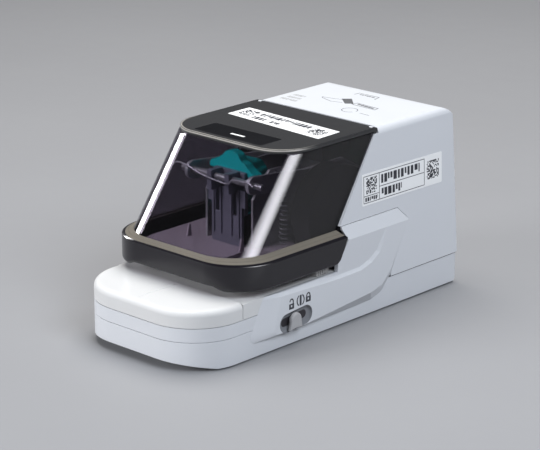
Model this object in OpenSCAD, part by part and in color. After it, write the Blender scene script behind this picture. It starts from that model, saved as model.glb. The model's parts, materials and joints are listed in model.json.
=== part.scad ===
// Electric desktop stapler with a hinged smoked cover.
// Origin: centre of the footprint on the resting surface. +X right, +Y rear, +Z up.

/* [Base] */
// Overall length, front to rear
body_l = 288; // [282:1:294]
// Width of the base
base_w = 126.6; // [124:0.2:128]
// Plan radius of the two front corners
front_r = 40; // [30:1:45]
// Plan radius of the two rear corners
rear_r = 5; // [4.5:0.5:12]
// Height of the lower seam of the base
seam_low = 22.3; // [20:0.1:24]
// Height of the upper seam of the base
seam_high = 32.6; // [30:0.1:35]
// Height of the throat deck
deck_z = 44; // [42:0.5:45]
// Height of the front table
table_z = 45; // [44:0.5:46]
// Place of the joint between table and deck
table_y = -97; // [-100:1:-94]
// Clearance under the base case
foot_h = 1.5; // [1:0.1:2.5]
// Wall thickness of the mouldings
wall = 2.5; // [2:0.1:3]
// Gap left at a visible seam
seam = 0.4; // [0.3:0.1:0.6]

/* [Housing] */
// Height of the flat top
top_z = 142.5; // [141:0.5:144]
// Half width of the housing at the top
top_hw = 60.5; // [59:0.1:61]
// Half width of the housing at the base seam
foot_hw = 64.3; // [63.5:0.1:64.5]
// Radius along the upper edges
top_r = 6; // [4:0.5:8]
// Place of the rear wall at the height of the top
top_rear = 138.5; // [137:0.5:142]
// Half width over the raised side panels
panel_hw = 67; // [66.5:0.1:67.5]
// Height of the shoulder facet on the side panel
shoulder_z = 76.5; // [75:0.5:78]

/* [Cover] */
// Place of the front edge of the top panel
cover_top_y = -51.3; // [-54:0.1:-50]
// Place of the front wall of the cover at the rim
cover_foot_y = -101.8; // [-103:0.1:-100]
// Half width of the cover
cover_hw = 59.8; // [59:0.1:60]
// Plan radius of the cover's front corners
cover_r = 28; // [24:1:32]
// Height of the inner edge of the rim ledge
rim_z = 74; // [73:0.5:75]
// Height of the outer edge of the rim ledge
rim_low = 69; // [68:0.5:70]
// Lowest edge of the bezel
bezel_z = 50; // [49:0.5:51]
// Wall thickness of the smoked cover
cover_t = 2.2; // [1.8:0.1:2.6]
// Place of the cover's hinge axis
hinge_y = 47.2; // [46.5:0.1:48]
// Radius of the hinge knuckles
knuckle_r = 2.2; // [2:0.1:2.4]
// Radius of the hinge pins
hinge_pin_r = 1.1; // [1:0.05:1.2]
// Running clearance of every pin
run_fit = 0.05; // [0.03:0.01:0.08]

/* [Stapling head] */
// Front face of the head
head_y = -48; // [-50:0.5:-46]
// Half width of the front plate
plate_hw = 18.5; // [18:0.1:19]
// Driving stroke of the ram
stroke = 15; // [12:0.5:16]
// Half width of the driver blade
blade_hw = 6.2; // [6:0.1:6.6]
// Height of the cross pin
cross_z = 114; // [113:0.5:115]
// Pivot of the drive arms, front to rear
arm_y = 40; // [38:1:42]
// Pivot of the drive arms, height
arm_z = 104; // [103:0.5:106]

/* [Gear train] */
// Tooth module
gear_m = 0.8; // [0.8]
// Teeth on the main gear
main_n = 80; // [80]
// Teeth on the idler's large wheel
idler_n = 60; // [60]
// Teeth on the idler's small pinion
idler_p = 16; // [16]
// Teeth on the motor pinion
motor_n = 12; // [12]
// Pressure angle of the teeth
press_a = 25; // [25]
// Play left between meshing teeth
backlash = 0.2; // [0.15:0.05:0.3]

/* [Lever and stop] */
// Length of the lock lever's slot between the centres of its ends
lever_slot = 20; // [18:0.5:22]
// Travel of the paper stop
stop_travel = 9; // [6:1:9]

/* [Hidden] */
$fn = 64;

front_y = -body_l / 2;
rear_y = body_l / 2;
base_hw = base_w / 2;
hinge_z = top_z - knuckle_r;
plate_h = 1.5;                      // thickness of the steel plate under the base
split_slope = 0.64;                 // run over rise of the joint between cover and housing
split_top = 46.7;                   // where that joint meets the top face
rear_seam = 25.2;                   // seam between base case and housing at the rear
panel_t = top_z - 139.5;            // thickness of the top panel
ramp_y = -119;                      // where the underside starts to ramp up
ramp_z = 5.4;                       // height of the ramp at the front edge
shell_in = cover_hw - cover_t;
rim_hw = 60.4;                      // half width of the cover where it meets the rim
bezel_hw = panel_hw;
bezel_left = 73;                    // the left side stands out, as a grip to lift the cover by
edge_r = 17;                        // round upper rear edge of the housing
bezel_front = -104.5;
bezel_r = 36;
bezel_t = 2.6;
bezel_arch = 3;                     // extra height of the bezel's lower edge at the front
plate_x = 22;                       // inner face of the head's side plates
plate_t = 2;
arm_x = 29;                         // inner face of the drive arms
arm_t = 3;
arm_hw = 6.8;                       // half height of the drive arms
arm_len = arm_y - (head_y - 4);
cross_y = head_y - 4;
cross_r = 2.5;
ear_x = 8.7;                        // the ram's two ears, which hold the cross pin
ear_z = 104;
cam_y = 16;
cam_z = 83.5;
cam_e = 3.2;
cam_r = 9;
shaft_r = 4;
idler_y = cam_y + 37;
idler_z = cam_z - sqrt(pow(gear_m * (main_n + idler_p) / 2, 2) - 37 * 37);
motor_y = idler_y + 26.5;
motor_z = idler_z - sqrt(pow(gear_m * (idler_n + motor_n) / 2, 2) - 26.5 * 26.5);
main_x = 37.5;                      // near face of the main gear
main_w = 6;
wheel_x = 45;                       // near face of the idler's large wheel
wheel_w = 5;
gear_plate_x = 34.5;
motor_hole = 11;                    // offset of the motor screws from its shaft
floor_z = 63;                       // top of the head floor
rocker_x = -62.3;                   // pivot of the power rocker
rocker_y = 113;
rocker_z = 43;
stop_y = -18;                       // front face of the paper stop's bar
stem_x = 44;                        // stems that guide the paper stop
lever_y = -48;                      // lock lever knob at rest
slot_a = [-56, 19.8];               // centres of the two ends of the lever's slot
slot_b = slot_a + lever_slot * [cos(4.6), sin(4.6)];
lever_z = slot_a[1] + (lever_y - slot_a[0]) * tan(4.6);
clinch_y = head_y + 4.6;            // where the staple is driven
clinch_x = 7.2;                     // pivots of the two clinchers
clinch_z = 38;
sensor_y = -37;                     // pivot of the sheet sensor
sensor_z = 38;
lever_axis_y = -22;                 // pivot of the release lever
lever_axis_z = 115.5;
strap_r = cam_r + cam_e + 3.1;      // opening of the drive arm round its cam
spring_y = -20;
spring_h = arm_z + (cross_z - arm_z) * (arm_y - spring_y) / arm_len - arm_hw - 0.5 - floor_z;
mesh_a = atan2(idler_z - cam_z, idler_y - cam_y);
mesh_b = atan2(motor_z - idler_z, motor_y - idler_y);

// Y of the joint between cover and housing at a height
function split_y(z) = split_top + split_slope * (z - 141.6);
// Half width of the housing at a height
function hw_at(z) = foot_hw + (top_hw - foot_hw) * (z - rear_seam) / (top_z - rear_seam);

function rear_at(z) = rear_y + (top_rear - rear_y) * (z - rear_seam) / (top_z - rear_seam);
function arc(c, r, a0, a1, n = 8) =
    [for (i = [0:n]) c + r * [cos(a0 + (a1 - a0) * i / n), sin(a0 + (a1 - a0) * i / n)]];

module both() { for (s = [-1, 1]) scale_x(s) children(); }
module scale_x(s) { if (s < 0) mirror([1, 0, 0]) children(); else children(); }
// Turn a side profile drawn in (Y, Z) into a solid between two X values
module side(x0, x1) { translate([x0, 0, 0]) rotate([90, 0, 90]) linear_extrude(x1 - x0) children(); }
// Turn a cross section drawn in (X, Z) into a solid between two Y values
module cross(y0, y1) { translate([0, y1, 0]) rotate([90, 0, 0]) linear_extrude(y1 - y0) children(); }
module flat(z0, z1) { translate([0, 0, z0]) linear_extrude(z1 - z0) children(); }
module block(a, b) { translate(a) cube(b - a); }
module rod_x(x0, x1, y, z, r) { translate([x0, y, z]) rotate([0, 90, 0]) cylinder(h = x1 - x0, r = r); }
module rod_y(x, y0, y1, z, r) { translate([x, y0, z]) rotate([-90, 0, 0]) cylinder(h = y1 - y0, r = r); }
module rod_z(x, y, z0, z1, r) { translate([x, y, z0]) cylinder(h = z1 - z0, r = r); }
// Plan outline with one radius for the front corners and one for the rear
module outline(hw, y0, y1, rf, rr) {
    translate([-hw, y0 + rf]) square([2 * hw, y1 - y0 - rf - rr]);
    translate([-hw + rf, y0]) square([2 * (hw - rf), rf]);
    translate([-hw + rr, y1 - rr]) square([2 * (hw - rr), rr]);
    for (s = [-1, 1]) {
        translate([s * (hw - rf), y0 + rf]) circle(rf);
        translate([s * (hw - rr), y1 - rr]) circle(rr);
    }
}
module slot2d(a, b, r) {            // a rounded bar between two points
    t = atan2(b[1] - a[1], b[0] - a[0]);
    polygon(concat(arc(b, r, t - 90, t + 90, 24), arc(a, r, t + 90, t + 270, 24)));
}
module rbox2d(w, h, r) {            // a rectangle with round corners, centred
    square([w - 2 * r, h], center = true);
    square([w, h - 2 * r], center = true);
    for (x = [-1, 1], y = [-1, 1]) translate([x * (w / 2 - r), y * (h / 2 - r)]) circle(r);
}

// Base -----------------------------------------------------------------

module base_outline(inset) {
    outline(base_hw - inset, front_y + inset, rear_y - inset, front_r - inset, rear_r - inset);
}
module base_side() {                // side profile of the lower case
    polygon([[front_y - 1, foot_h + ramp_z], [ramp_y, foot_h],
        [rear_y - 5, foot_h], [rear_y + 1, foot_h + 6],
        [rear_y + 1, rear_seam - seam], [20, rear_seam - seam], [20, seam_low - seam],
        [front_y - 1, seam_low - seam]]);
}
module base_case() {
    color("white") difference() {
        intersection() {
            flat(0, rear_seam) base_outline(0);
            side(-base_w, base_w) base_side();
        }
        intersection() {
            flat(foot_h + wall, rear_seam + 1) base_outline(wall);
            side(-base_w, base_w) polygon([[front_y, foot_h + ramp_z + wall],
                [ramp_y, foot_h + wall], [rear_y, foot_h + wall],
                [rear_y, rear_seam + 1], [front_y, rear_seam + 1]]);
        }
        block([-50, -112, foot_h - 1], [50, 128, foot_h + wall + 1]);
    }
}
module base_band() {
    color("white") difference() {
        flat(seam_low, seam_high - seam) intersection() {
            base_outline(0);
            translate([-base_w, front_y]) square([2 * base_w, 20 - seam - front_y]);
        }
        flat(seam_low - 1, seam_high + 1) intersection() {
            base_outline(wall);
            translate([-base_w, front_y]) square([2 * base_w, 200]);
        }
    }
    color("white") difference() {   // hidden tongue that joins band and lower case
        flat(seam_low - seam, seam_low + 3) intersection() {
            base_outline(wall);
            translate([-base_w, front_y]) square([2 * base_w, 19.5 - front_y]);
        }
        flat(seam_low - 2, seam_low + 4) base_outline(wall + 1.5);
    }
}
module bottom_plate() {
    color("lightgray") difference() {
        block([-49.7, -111.7, foot_h], [49.7, 127.7, foot_h + plate_h]);
        screw_places() rod_z(0, 0, 0, 6, 1.7);
        foot_places() rod_z(0, 0, 0, 6, 2.6);
    }
}
module screw_places() {
    for (x = [-36, 36], y = [-80, 10, 104]) translate([x, y, 0]) children();
}
module foot_places() {
    for (x = [-42, 42], y = [-102, 118]) translate([x, y, 0]) children();
}
module rubber_feet() {
    color("dimgray") foot_places() {
        rod_z(0, 0, 0, foot_h, 6.5);
        rod_z(0, 0, foot_h, foot_h + 2.4, 2.5);
    }
}
module bottom_screws() {
    color("silver") screw_places() difference() {
        union() {
            rod_z(0, 0, foot_h - 0.9, foot_h, 2.9);
            rod_z(0, 0, foot_h, foot_h + 8, 1.5);
        }
        for (a = [0, 90]) rotate(a) block([-1.8, -0.35, 0], [1.8, 0.35, foot_h - 0.3]);
    }
}
module table_corner_cut() {         // what the round upper edge removes
    r = 4.5;
    difference() {
        translate([-r, -r]) square([2 * r, 2 * r]);
        translate([-r, -r]) circle(r);
        translate([-3 * r, -r]) square([2 * r, 2 * r]);
        translate([-2 * r, -3 * r]) square([3 * r, 2 * r]);
    }
}
module front_table() {
    r = 4.5;
    color("whitesmoke") {
        difference() {
            flat(seam_high, table_z) intersection() {
                base_outline(0);
                translate([-base_w, front_y]) square([2 * base_w, table_y - seam / 2 - front_y]);
            }
            flat(seam_high - 1, table_z - wall) intersection() {
                base_outline(wall + 1);
                translate([-base_w, front_y]) square([2 * base_w, table_y - wall - front_y]);
            }
            for (s = [-1, 1]) scale_x(s) {
                translate([base_hw - front_r, front_y + front_r, 0]) rotate([0, 0, -90])
                    rotate_extrude(angle = 90) translate([front_r, table_z]) table_corner_cut();
                translate([base_hw, 0, table_z]) rotate([90, 0, 0])
                    translate([0, 0, 90]) linear_extrude(front_r) table_corner_cut();
            }
            translate([-base_hw + front_r, front_y, table_z]) rotate([90, 0, 90])
                linear_extrude(base_w - 2 * front_r) mirror([1, 0]) table_corner_cut();
            block([-0.4, front_y + 8, table_z - 0.4], [0.4, table_y + 1, table_z + 1]);
        }
    }
}
module throat_deck() {
    color("whitesmoke") for (x = [-33, -25]) difference() {
        block([x, sensor_y - 3, 35], [x + 2, sensor_y + 3, deck_z - wall]);
        rod_x(x - 1, x + 3, sensor_y, sensor_z, 1.5 + run_fit);
    }
    color("whitesmoke") difference() {
        flat(seam_high, deck_z) translate([-base_hw, table_y + seam / 2])
            square([base_w, 52 - table_y]);
        flat(seam_high - 1, deck_z - wall) translate([-base_hw + wall, table_y + wall])
            square([base_w - 2 * wall, 52 - 2 * wall - table_y]);
        flat(0, 60) translate([0, clinch_y]) rbox2d(31.6, 19.6, 2);
        block([-31, -41, 30], [-25, -28, 60]);                      // sensor lever slot
        for (s = [-1, 1]) block([s * stem_x - 2.2, stop_y - stop_travel - 3, 30], [s * stem_x + 2.2, stop_y + 11, 60]);
    }
}

// Clincher -------------------------------------------------------------

module anvil_plate() {
    color("silver") difference() {
        flat(deck_z - 1.6, deck_z + 0.3) translate([0, clinch_y]) rbox2d(31, 19, 1.8);
        block([-clinch_x - 1, clinch_y - 1.4, 30], [clinch_x + 1, clinch_y + 1.4, 60]);
    }
}
module clincher_block() {
    color("gray") difference() {
        block([-15, clinch_y - 8, seam_low + 1], [15, clinch_y + 8, deck_z - 1.6]);
        block([-12.4, clinch_y - 1.5, seam_low + 6], [12.4, clinch_y + 1.5, 60]);
        for (s = [-1, 1]) rod_y(s * clinch_x, clinch_y - 9, clinch_y + 9, clinch_z, 1.2);
    }
}
module clincher_leg() {             // finger that folds one leg of the staple
    color("silver") difference() {
        cross(clinch_y - 1.1, clinch_y + 1.1) union() {
            translate([clinch_x, clinch_z]) circle(2.4);
            polygon([[clinch_x + 2.2, clinch_z - 1], [clinch_x + 2.2, clinch_z + 1.2],
                [clinch_x - 0.4, clinch_z + 3.6], [0.5, clinch_z + 1],
                [0.5, clinch_z - 1.6], [clinch_x - 1, clinch_z - 2.2]]);
        }
        rod_y(clinch_x, clinch_y - 9, clinch_y + 9, clinch_z, 1.2 + run_fit);
    }
}
module clincher_left() { mirror([1, 0, 0]) clincher_leg(); }
module clincher_right() { clincher_leg(); }
module clincher_pins() {
    color("silver") for (s = [-1, 1])
        rod_y(s * clinch_x, clinch_y - 7.5, clinch_y + 7.5, clinch_z, 1.2);
}

// Side panels ----------------------------------------------------------

module panel_profile() {            // outline seen from the side, in (Y, Z)
    polygon(concat([[-77.6, deck_z - 1.8], [-75, deck_z], [0, deck_z], [0.2, 51], [2.4, 53], [10.1, 67],
        [9.9, 69.5], [6.2, 74.5], [6.2, shoulder_z], [69.5, shoulder_z], [81, 67], [62, 28],
        [52, 15.5], [40, 12]], arc([-84.8, 16.8], 5, -90, -200)));
}
module panel_section() {            // outline seen from the front, in (X, Z)
    polygon([[base_hw + 0.1, 10], [panel_hw - 2, 10], [panel_hw, 15], [panel_hw, 66.5],
        [hw_at(shoulder_z) + 0.9, shoulder_z], [hw_at(shoulder_z) - 1.6, shoulder_z],
        [base_hw + 0.1, 64]]);
}
module side_panel() {
    intersection() {
        side(50, 80) panel_profile();
        cross(-100, 100) panel_section();
    }
}
module side_panel_left() { color("white") mirror([1, 0, 0]) side_panel(); }
module side_panel_right() {
    color("white") difference() {
        side_panel();
        side(60, 80) slot2d(slot_a, slot_b, 7.2);
    }
}
module lever_recess() {             // dark cup behind the lock lever
    color("black") difference() {
        side(base_hw + 0.15, panel_hw - 0.6) slot2d(slot_a, slot_b, 7);
        side(base_hw + 1.2, 80) slot2d(slot_a, slot_b, 6.2);
    }
}
module lock_lever() {               // knob with a flared foot, on a sliding plate
    color("gray") {
        side(base_hw + 1.5, base_hw + 2.4) slot2d([lever_y - 1, lever_z], [lever_y + 1, lever_z], 5.2);
        side(base_hw + 2.4, panel_hw + 0.3) translate([lever_y, lever_z]) circle(5);
        side(panel_hw + 0.3, panel_hw + 3) {
            translate([lever_y, lever_z]) circle(6.3);
            polygon([[lever_y - 6.3, lever_z], [lever_y - 7, lever_z - 6.6],
                [lever_y + 7, lever_z - 6.6], [lever_y + 6.3, lever_z]]);
        }
    }
}

// Housing --------------------------------------------------------------

module housing_side() {              // in (Y, Z); open along the joint with the cover
    r = edge_r;
    polygon(concat([[split_y(top_z) + seam, top_z], [split_y(shoulder_z) + seam, shoulder_z + seam],
        [70, shoulder_z + seam], [81.6, 67], [62, 27.6], [62, rear_seam], [rear_y - 5, rear_seam]],
        arc([rear_y - 5, rear_seam + 5], 5, -90, 0), arc([rear_at(top_z - r) - r, top_z - r], r, 2, 90)));
}
module housing_section(inset) {     // in (X, Z), with the round upper edges
    zt = top_z - inset;
    r = top_r;
    x = hw_at(zt - r) - inset - r;
    polygon(concat([[-hw_at(0) + inset, 0], [hw_at(0) - inset, 0]],
        arc([x, zt - r], r, 0, 90), arc([-x, zt - r], r, 90, 180)));
}
module housing_plan(inset) {         // upright block that narrows upwards, with round rear corners
    hull() for (z = [0, 160])
        flat(z, z + 0.01)
            outline(hw_at(z) + 0.3 - inset, -60, rear_at(z) + 0.3 - inset, 5, rear_r - inset);
}
module housing_void() {             // the space inside, open at the front and below
    r = edge_r - 2;
    intersection() {
        side(-80, 80) polygon(concat([[-30, top_z - wall], [-30, 20], [rear_y - wall, 20]],
            [[rear_y - wall, rear_seam + 5]], arc([rear_at(top_z - r) - wall - r, top_z - wall - r], r, 2, 90)));
        cross(-40, 160) housing_section(wall);
        housing_plan(wall);
    }
}
module upper_housing() {
    color("white") {
        difference() {
            intersection() {
                side(-80, 80) housing_side();
                cross(-20, 160) housing_section(0);
                housing_plan(0);
            }
            housing_void();
            block([-53.7, 30, hinge_z - knuckle_r - 1], [53.7, hinge_y + knuckle_r + 0.3, 150]);
            for (s = [-1, 1]) scale_x(s)
                block([53.6, 30, hinge_z - knuckle_r - 0.3], [66, hinge_y + knuckle_r + 0.3, 150]);
            block([-24, 120, 34], [-2, 160, 50]);                    // power inlet
            for (i = [0:8]) block([14 + 4.4 * i, 120, 40], [16 + 4.4 * i, 160, 62]);
            block([-80, rocker_y - 11, rocker_z - 6.7], [-55, rocker_y + 11, rocker_z + 6.7]);
            rod_z(rocker_x, rocker_y, rocker_z - 8.3, rocker_z + 8.3, 0.8 + run_fit);
        }
        for (s = [-1, 1]) scale_x(s) difference() {                 // lugs for the hinge pins
            union() {
                rod_x(54, 57.3, hinge_y, hinge_z, knuckle_r - 0.05);
                block([54, hinge_y, hinge_z - knuckle_r], [57.3, hinge_y + 6, hinge_z + 0.6]);
            }
            rod_x(40, 60, hinge_y, hinge_z, hinge_pin_r);
        }
    }
}
module inner_frame() {              // dark bulkhead behind the cover's rear edge
    module face(d, x, z0, z1) side(-x, x)
        polygon([[split_y(z0) + d, z0], [split_y(z1) + d, z1], [split_y(z1) + d + 2, z1], [split_y(z0) + d + 2, z0]]);
    color([0.12, 0.12, 0.14]) difference() {
        intersection() {
            face(4, foot_hw, floor_z + 1, 136);
            cross(-40, 160) housing_section(wall);
        }
        side(-48, 55.5) polygon([[-20, 60], [-20, 132], [90, 132], [90, 60]]);
    }
}
module power_inlet() {
    color("black") difference() {
        block([-23.7, 128, 34.3], [-2.3, 141.4, 49.7]);
        block([-21, 132.5, 37], [-5, 150, 47]);
    }
    color("silver") for (x = [-17, -9]) rod_y(x, 131, 135.5, 42, 1.2);
}
module power_rocker() {
    color("black") {
        difference() {
            side(-66, -59.5) translate([rocker_y, rocker_z]) rbox2d(19, 11.4, 1);
            for (s = [-1, 1]) side(-70, -64.6) translate([rocker_y + s * 9, rocker_z]) rbox2d(9, 14, 0.5);
        }
        rod_z(rocker_x, rocker_y, rocker_z - 8, rocker_z + 8, 0.8);
    }
}
module top_label() {
    color("white") flat(top_z, top_z + 0.15) polygon([[-47, 25.5], [49, 20], [50, -5], [-47, 2]]);
}
module side_label() {               // lies on the drafted side wall
    tilt = atan((foot_hw - top_hw) / (top_z - rear_seam));
    color("white") translate([hw_at(98), 76, 98]) rotate([0, -tilt, 0]) rotate([90, 0, 90])
        rotate(-0.5) linear_extrude(0.15) square([92, 24], center = true);
}

// Cover ----------------------------------------------------------------

// Front face of the cover at a height
function cover_y(z) = cover_foot_y + (cover_top_y - cover_foot_y) * (z - rim_z) / (141.5 - rim_z);
// Half width of the cover at a height
function cover_x(z) = rim_hw + (cover_hw - rim_hw) * (z - rim_z) / (top_z - rim_z);
module cover_slice(z, inset) {
    r = cover_r + (32 - cover_r) * (top_z - z) / (top_z - rim_z) - inset;
    flat(z, z + 0.01) outline(cover_x(z) - inset, cover_y(z) + inset, 60, r, 2);
}
module cover_loft(z0, z1, inset) { hull() { cover_slice(z0, inset); cover_slice(z1, inset); } }
module behind_split(gap) {          // everything behind the cover's rear edge
    side(-90, 90) polygon([[split_y(60) - gap, 60], [split_y(160) - gap, 160], [200, 160], [200, 60]]);
}
module cover_shell() {
    color([0.13, 0.12, 0.16, 0.6]) difference() {
        cover_loft(rim_z, top_z - panel_t - 0.01, 0);
        cover_loft(rim_z - 0.1, top_z, cover_t);
        behind_split(0);
    }
}
module bezel_plan(inset, y1, shift = 0) {
    r = bezel_r - inset;
    y0 = bezel_front + bezel_r;
    polygon(concat(arc([bezel_hw - bezel_r, y0], r, -90, 0, 24),
        [[bezel_hw - inset, y1], [-bezel_left + inset + shift, y1]],
        arc([-bezel_left + bezel_r + shift, y0], r, 180, 270, 24)));
}
module rim_trim() {                 // sloping ledge round the foot of the cover
    color([0.6, 0.56, 0.52]) difference() {
        hull() {
            flat(rim_low, rim_low + 0.01) bezel_plan(0, 60);
            flat(rim_z - 0.01, rim_z) outline(rim_hw, cover_foot_y, 60, 32, 2);
        }
        hull() {
            flat(rim_low - 0.1, rim_low) bezel_plan(bezel_t, 60, 5);
            flat(rim_z, rim_z + 0.1) outline(rim_hw - cover_t, cover_foot_y + cover_t, 60, 32 - cover_t, 2);
        }
        side(-90, 90) polygon([[9.8, rim_low - 1], [9.2, rim_low], [split_y(rim_z), rim_z],
            [split_y(rim_z), rim_z + 1], [90, rim_z + 1], [90, rim_low - 1]]);
    }
}
module cover_bezel() {
    color([0.13, 0.12, 0.16]) difference() {
        flat(bezel_z, rim_low) bezel_plan(0, 60);
        flat(bezel_z - 1, rim_low + 1) bezel_plan(bezel_t, 80);
        side(-90, 90) polygon([[-4, bezel_z - 1], [-1, bezel_z + 1.2], [1.6, 53], [9.3, 67], [9.2, rim_low],
            [9.2, 90], [90, 90], [90, bezel_z - 1]]);
        cross(-120, -60) polygon([[-48, bezel_z - 1], [-38, bezel_z + bezel_arch],
            [38, bezel_z + bezel_arch], [48, bezel_z - 1]]);
    }
}
module top_panel() {
    color([0.24, 0.24, 0.24]) difference() {
        union() {
            flat(top_z - panel_t, top_z) intersection() {
                outline(cover_hw, cover_top_y, 70, cover_r, 2);
                translate([-80, -80]) square([160, 80 + hinge_y]);
            }
            rod_x(-cover_hw, cover_hw, hinge_y, hinge_z, knuckle_r);
        }
        for (s = [-1, 1]) scale_x(s) {
            block([53.7, hinge_y - knuckle_r - 0.3, 130], [57.6, 60, 150]);
            rod_x(49.5, 54, hinge_y, hinge_z, hinge_pin_r + run_fit);
        }
        flat(top_z - 0.6, top_z + 1) translate([-1.5, -34.5]) rbox2d(67, 23, 2);
        flat(top_z - 2, top_z) translate([0, -36]) rbox2d(14, 2.6, 0.8);
    }
}
module window_inlay() {
    color([0.1, 0.1, 0.1]) difference() {
        flat(top_z - 0.6, top_z - 0.2) translate([-1.5, -34.5]) rbox2d(66.6, 22.6, 1.8);
        flat(top_z - 1, top_z) translate([0, -36]) rbox2d(14, 2.6, 0.8);
    }
}
module indicator_lens() {
    color("white") flat(top_z - 1.9, top_z - 0.1) translate([0, -36]) rbox2d(13.8, 2.4, 0.7);
}
module hinge_pins() {
    color("silver") both() rod_x(50, 57.3, hinge_y, hinge_z, hinge_pin_r);
}

// Throat ---------------------------------------------------------------

module paper_stop() {
    color([0.75, 0.74, 0.72]) both() {
        block([0, stop_y, deck_z + 0.4], [57, stop_y + 5, 49.2]);
        difference() {
            block([57, stop_y - 1, deck_z + 0.4], [62, stop_y + 12, 49.2]);
            for (i = [0:4]) block([61, stop_y + 0.4 + 2.4 * i, 40], [63, stop_y + 1.4 + 2.4 * i, 50]);
        }
        block([stem_x - 1.8, stop_y - 1, 36], [stem_x + 1.8, stop_y + 9, deck_z + 0.4]);
        block([stem_x - 4, stop_y - 1, 35], [stem_x + 4, stop_y + 9, 36]);
    }
}
module sensor_lever() {
    color("black") {
        side(-30, -26) {
            translate([sensor_y, sensor_z]) circle(3);
            polygon([[sensor_y - 2, sensor_z], [sensor_y + 0.6, 48.4], [sensor_y + 2.6, 48.4],
                [sensor_y + 2.6, sensor_z]]);
        }
        rod_x(-32.6, -23.4, sensor_y, sensor_z, 1.5);
    }
}

// Stapling head --------------------------------------------------------

module head_floor() {
    color([0.45, 0.42, 0.48]) difference() {
        union() {
            flat(floor_z - 3, floor_z) {
                outline(55, -96, -14, 28, 3);
                translate([-33, -20]) square([66, 32]);
            }
            flat(floor_z, floor_z + 3) intersection() {
                outline(54, -95, -40, 27, 2);
                translate([-28.5, -100]) square([57, 42]);
            }
            both() side(25.8, 27.2) polygon([[-63, floor_z + 2], [-60.5, floor_z + 12],
                [-59, floor_z + 12], [-58, floor_z + 2]]);
        }
        block([-16, head_y + 2.7, 50], [16, head_y + 9, 80]);
    }
}
module front_plate() {
    color([0.3, 0.3, 0.35]) difference() {
        union() {
            block([-plate_hw, head_y, 93], [plate_hw, head_y + 2.5, 106]);
            block([-15, head_y, floor_z], [15, head_y + 2.5, 93]);
            for (x = [-12.6, -5.2, 5.2, 12.6])
                block([x - 0.7, head_y - 1.2, 70], [x + 0.7, head_y, 106]);
        }
        for (s = [-1, 1]) block([s * ear_x - 2.5, -60, ear_z - stroke - 3], [s * ear_x + 2.5, 0, 110]);
        block([-7, head_y + 1.5, floor_z - 1], [7, head_y + 3, 93]);
    }
}
module head_plate() {
    color("silver") difference() {
        side(plate_x, plate_x + plate_t) polygon([[-45.4, floor_z], [-45.4, 100], [-28, 119],
            [-16, 119], [-6, 112], [52, 112], [52, deck_z], [14, deck_z], [14, floor_z]]);
        rod_x(0, 60, cam_y, cam_z, shaft_r + run_fit);
        rod_x(0, 60, arm_y, arm_z, shaft_r);
        rod_x(0, 60, lever_axis_y, lever_axis_z, 2 + run_fit);
    }
}
module head_plate_right() { head_plate(); }
module head_plate_left() { mirror([1, 0, 0]) head_plate(); }
module head_spacers() {
    color("silver") for (p = [[-8, 106], [47, 60], [47, 88]])
        rod_x(-plate_x, plate_x, p[0], p[1], 3);
}
module ram() {
    color([0.3, 0.3, 0.34]) difference() {
        union() {
            block([-15, head_y + 3, 86], [15, head_y + 7, 118]);
            for (s = [-1, 1]) block([s * ear_x - 2.2, cross_y - 5, ear_z], [s * ear_x + 2.2, head_y + 3, 119]);
        }
        rod_x(-20, 20, cross_y, cross_z, cross_r);
    }
}
module driver_blade() {
    color("silver") block([-blade_hw, clinch_y - 0.4, 61], [blade_hw, clinch_y + 0.4, 86]);
}
module cross_pin() { color("silver") rod_x(-40, 40, cross_y, cross_z, cross_r); }
module wire_bail() {                // bent wire that pulls the ram back up
    path = [[-42, 117], [-37, 120], [-24, 118.5], [-12, 115.4], [4, 113.4],
        [12, 113], [17, 116.6], [30, 118], [38, 117]];
    n = len(path) - 1;
    edge = [for (i = [0:n]) let (d = path[min(i + 1, n)] - path[max(i - 1, 0)])
        0.75 * [-d[1], d[0]] / norm(d)];
    y = cross_y - 8.2;
    color("gray") {
        cross(y - 0.7, y + 0.7)
            polygon(concat([for (i = [0:n]) path[i] - edge[i]], [for (i = [n:-1:0]) path[i] + edge[i]]));
        for (s = [-1, 1]) block([s * ear_x - 0.6, y, 113.6], [s * ear_x + 0.6, cross_y - 5, 114.6]);
    }
}
module drive_arm() {
    strap = [cam_y - 1.65, cam_z + 1.8];
    color("silver") difference() {
        side(arm_x, arm_x + arm_t) union() {
            slot2d([arm_y, arm_z], [cross_y, cross_z], arm_hw);
            translate([arm_y, arm_z]) circle(8);
            translate(strap) circle(strap_r + 2.6);
        }
        side(arm_x - 1, arm_x + arm_t + 1) translate(strap) circle(strap_r);
        rod_x(0, 60, arm_y, arm_z, shaft_r + run_fit);
        side(arm_x - 1, arm_x + arm_t + 1)
            slot2d([cross_y - 0.9, cross_z], [cross_y + 0.5, cross_z], cross_r + 0.25);
    }
}
module drive_arm_right() { drive_arm(); }
module drive_arm_left() { mirror([1, 0, 0]) drive_arm(); }
module arm_shaft() { color("silver") rod_x(-34, 34, arm_y, arm_z, shaft_r); }
module return_springs() {           // closed tube in the place of each coil
    color("gray") both() translate([arm_x + arm_t / 2, spring_y, floor_z]) difference() {
        cylinder(h = spring_h, r = 3.6);
        translate([0, 0, -1]) cylinder(h = spring_h + 2, r = 2.4);
    }
}
module cartridge_case() {
    color([0.2, 0.2, 0.23]) difference() {
        side(-14, 14) polygon([[-42.4, floor_z + 0.2], [-42.4, 70.4], [-40.4, 70.4], [-40.4, 86],
            [8, 86], [8, floor_z + 0.2]]);
        block([-6.9, -50, 64.2], [6.9, 5, 69.4]);
        block([-12, -38.4, 72], [12, 6, 90]);
    }
}
module cartridge_lid() {
    color([0, 0.5, 0.5]) {
        block([-14, -40.4, 86], [14, 8, 88]);
        block([-8, -30, 88], [8, -12, 94]);
        block([-11.6, -38, 83], [-10.2, 5, 86]);
        block([10.2, -38, 83], [11.6, 5, 86]);
    }
}
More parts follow.
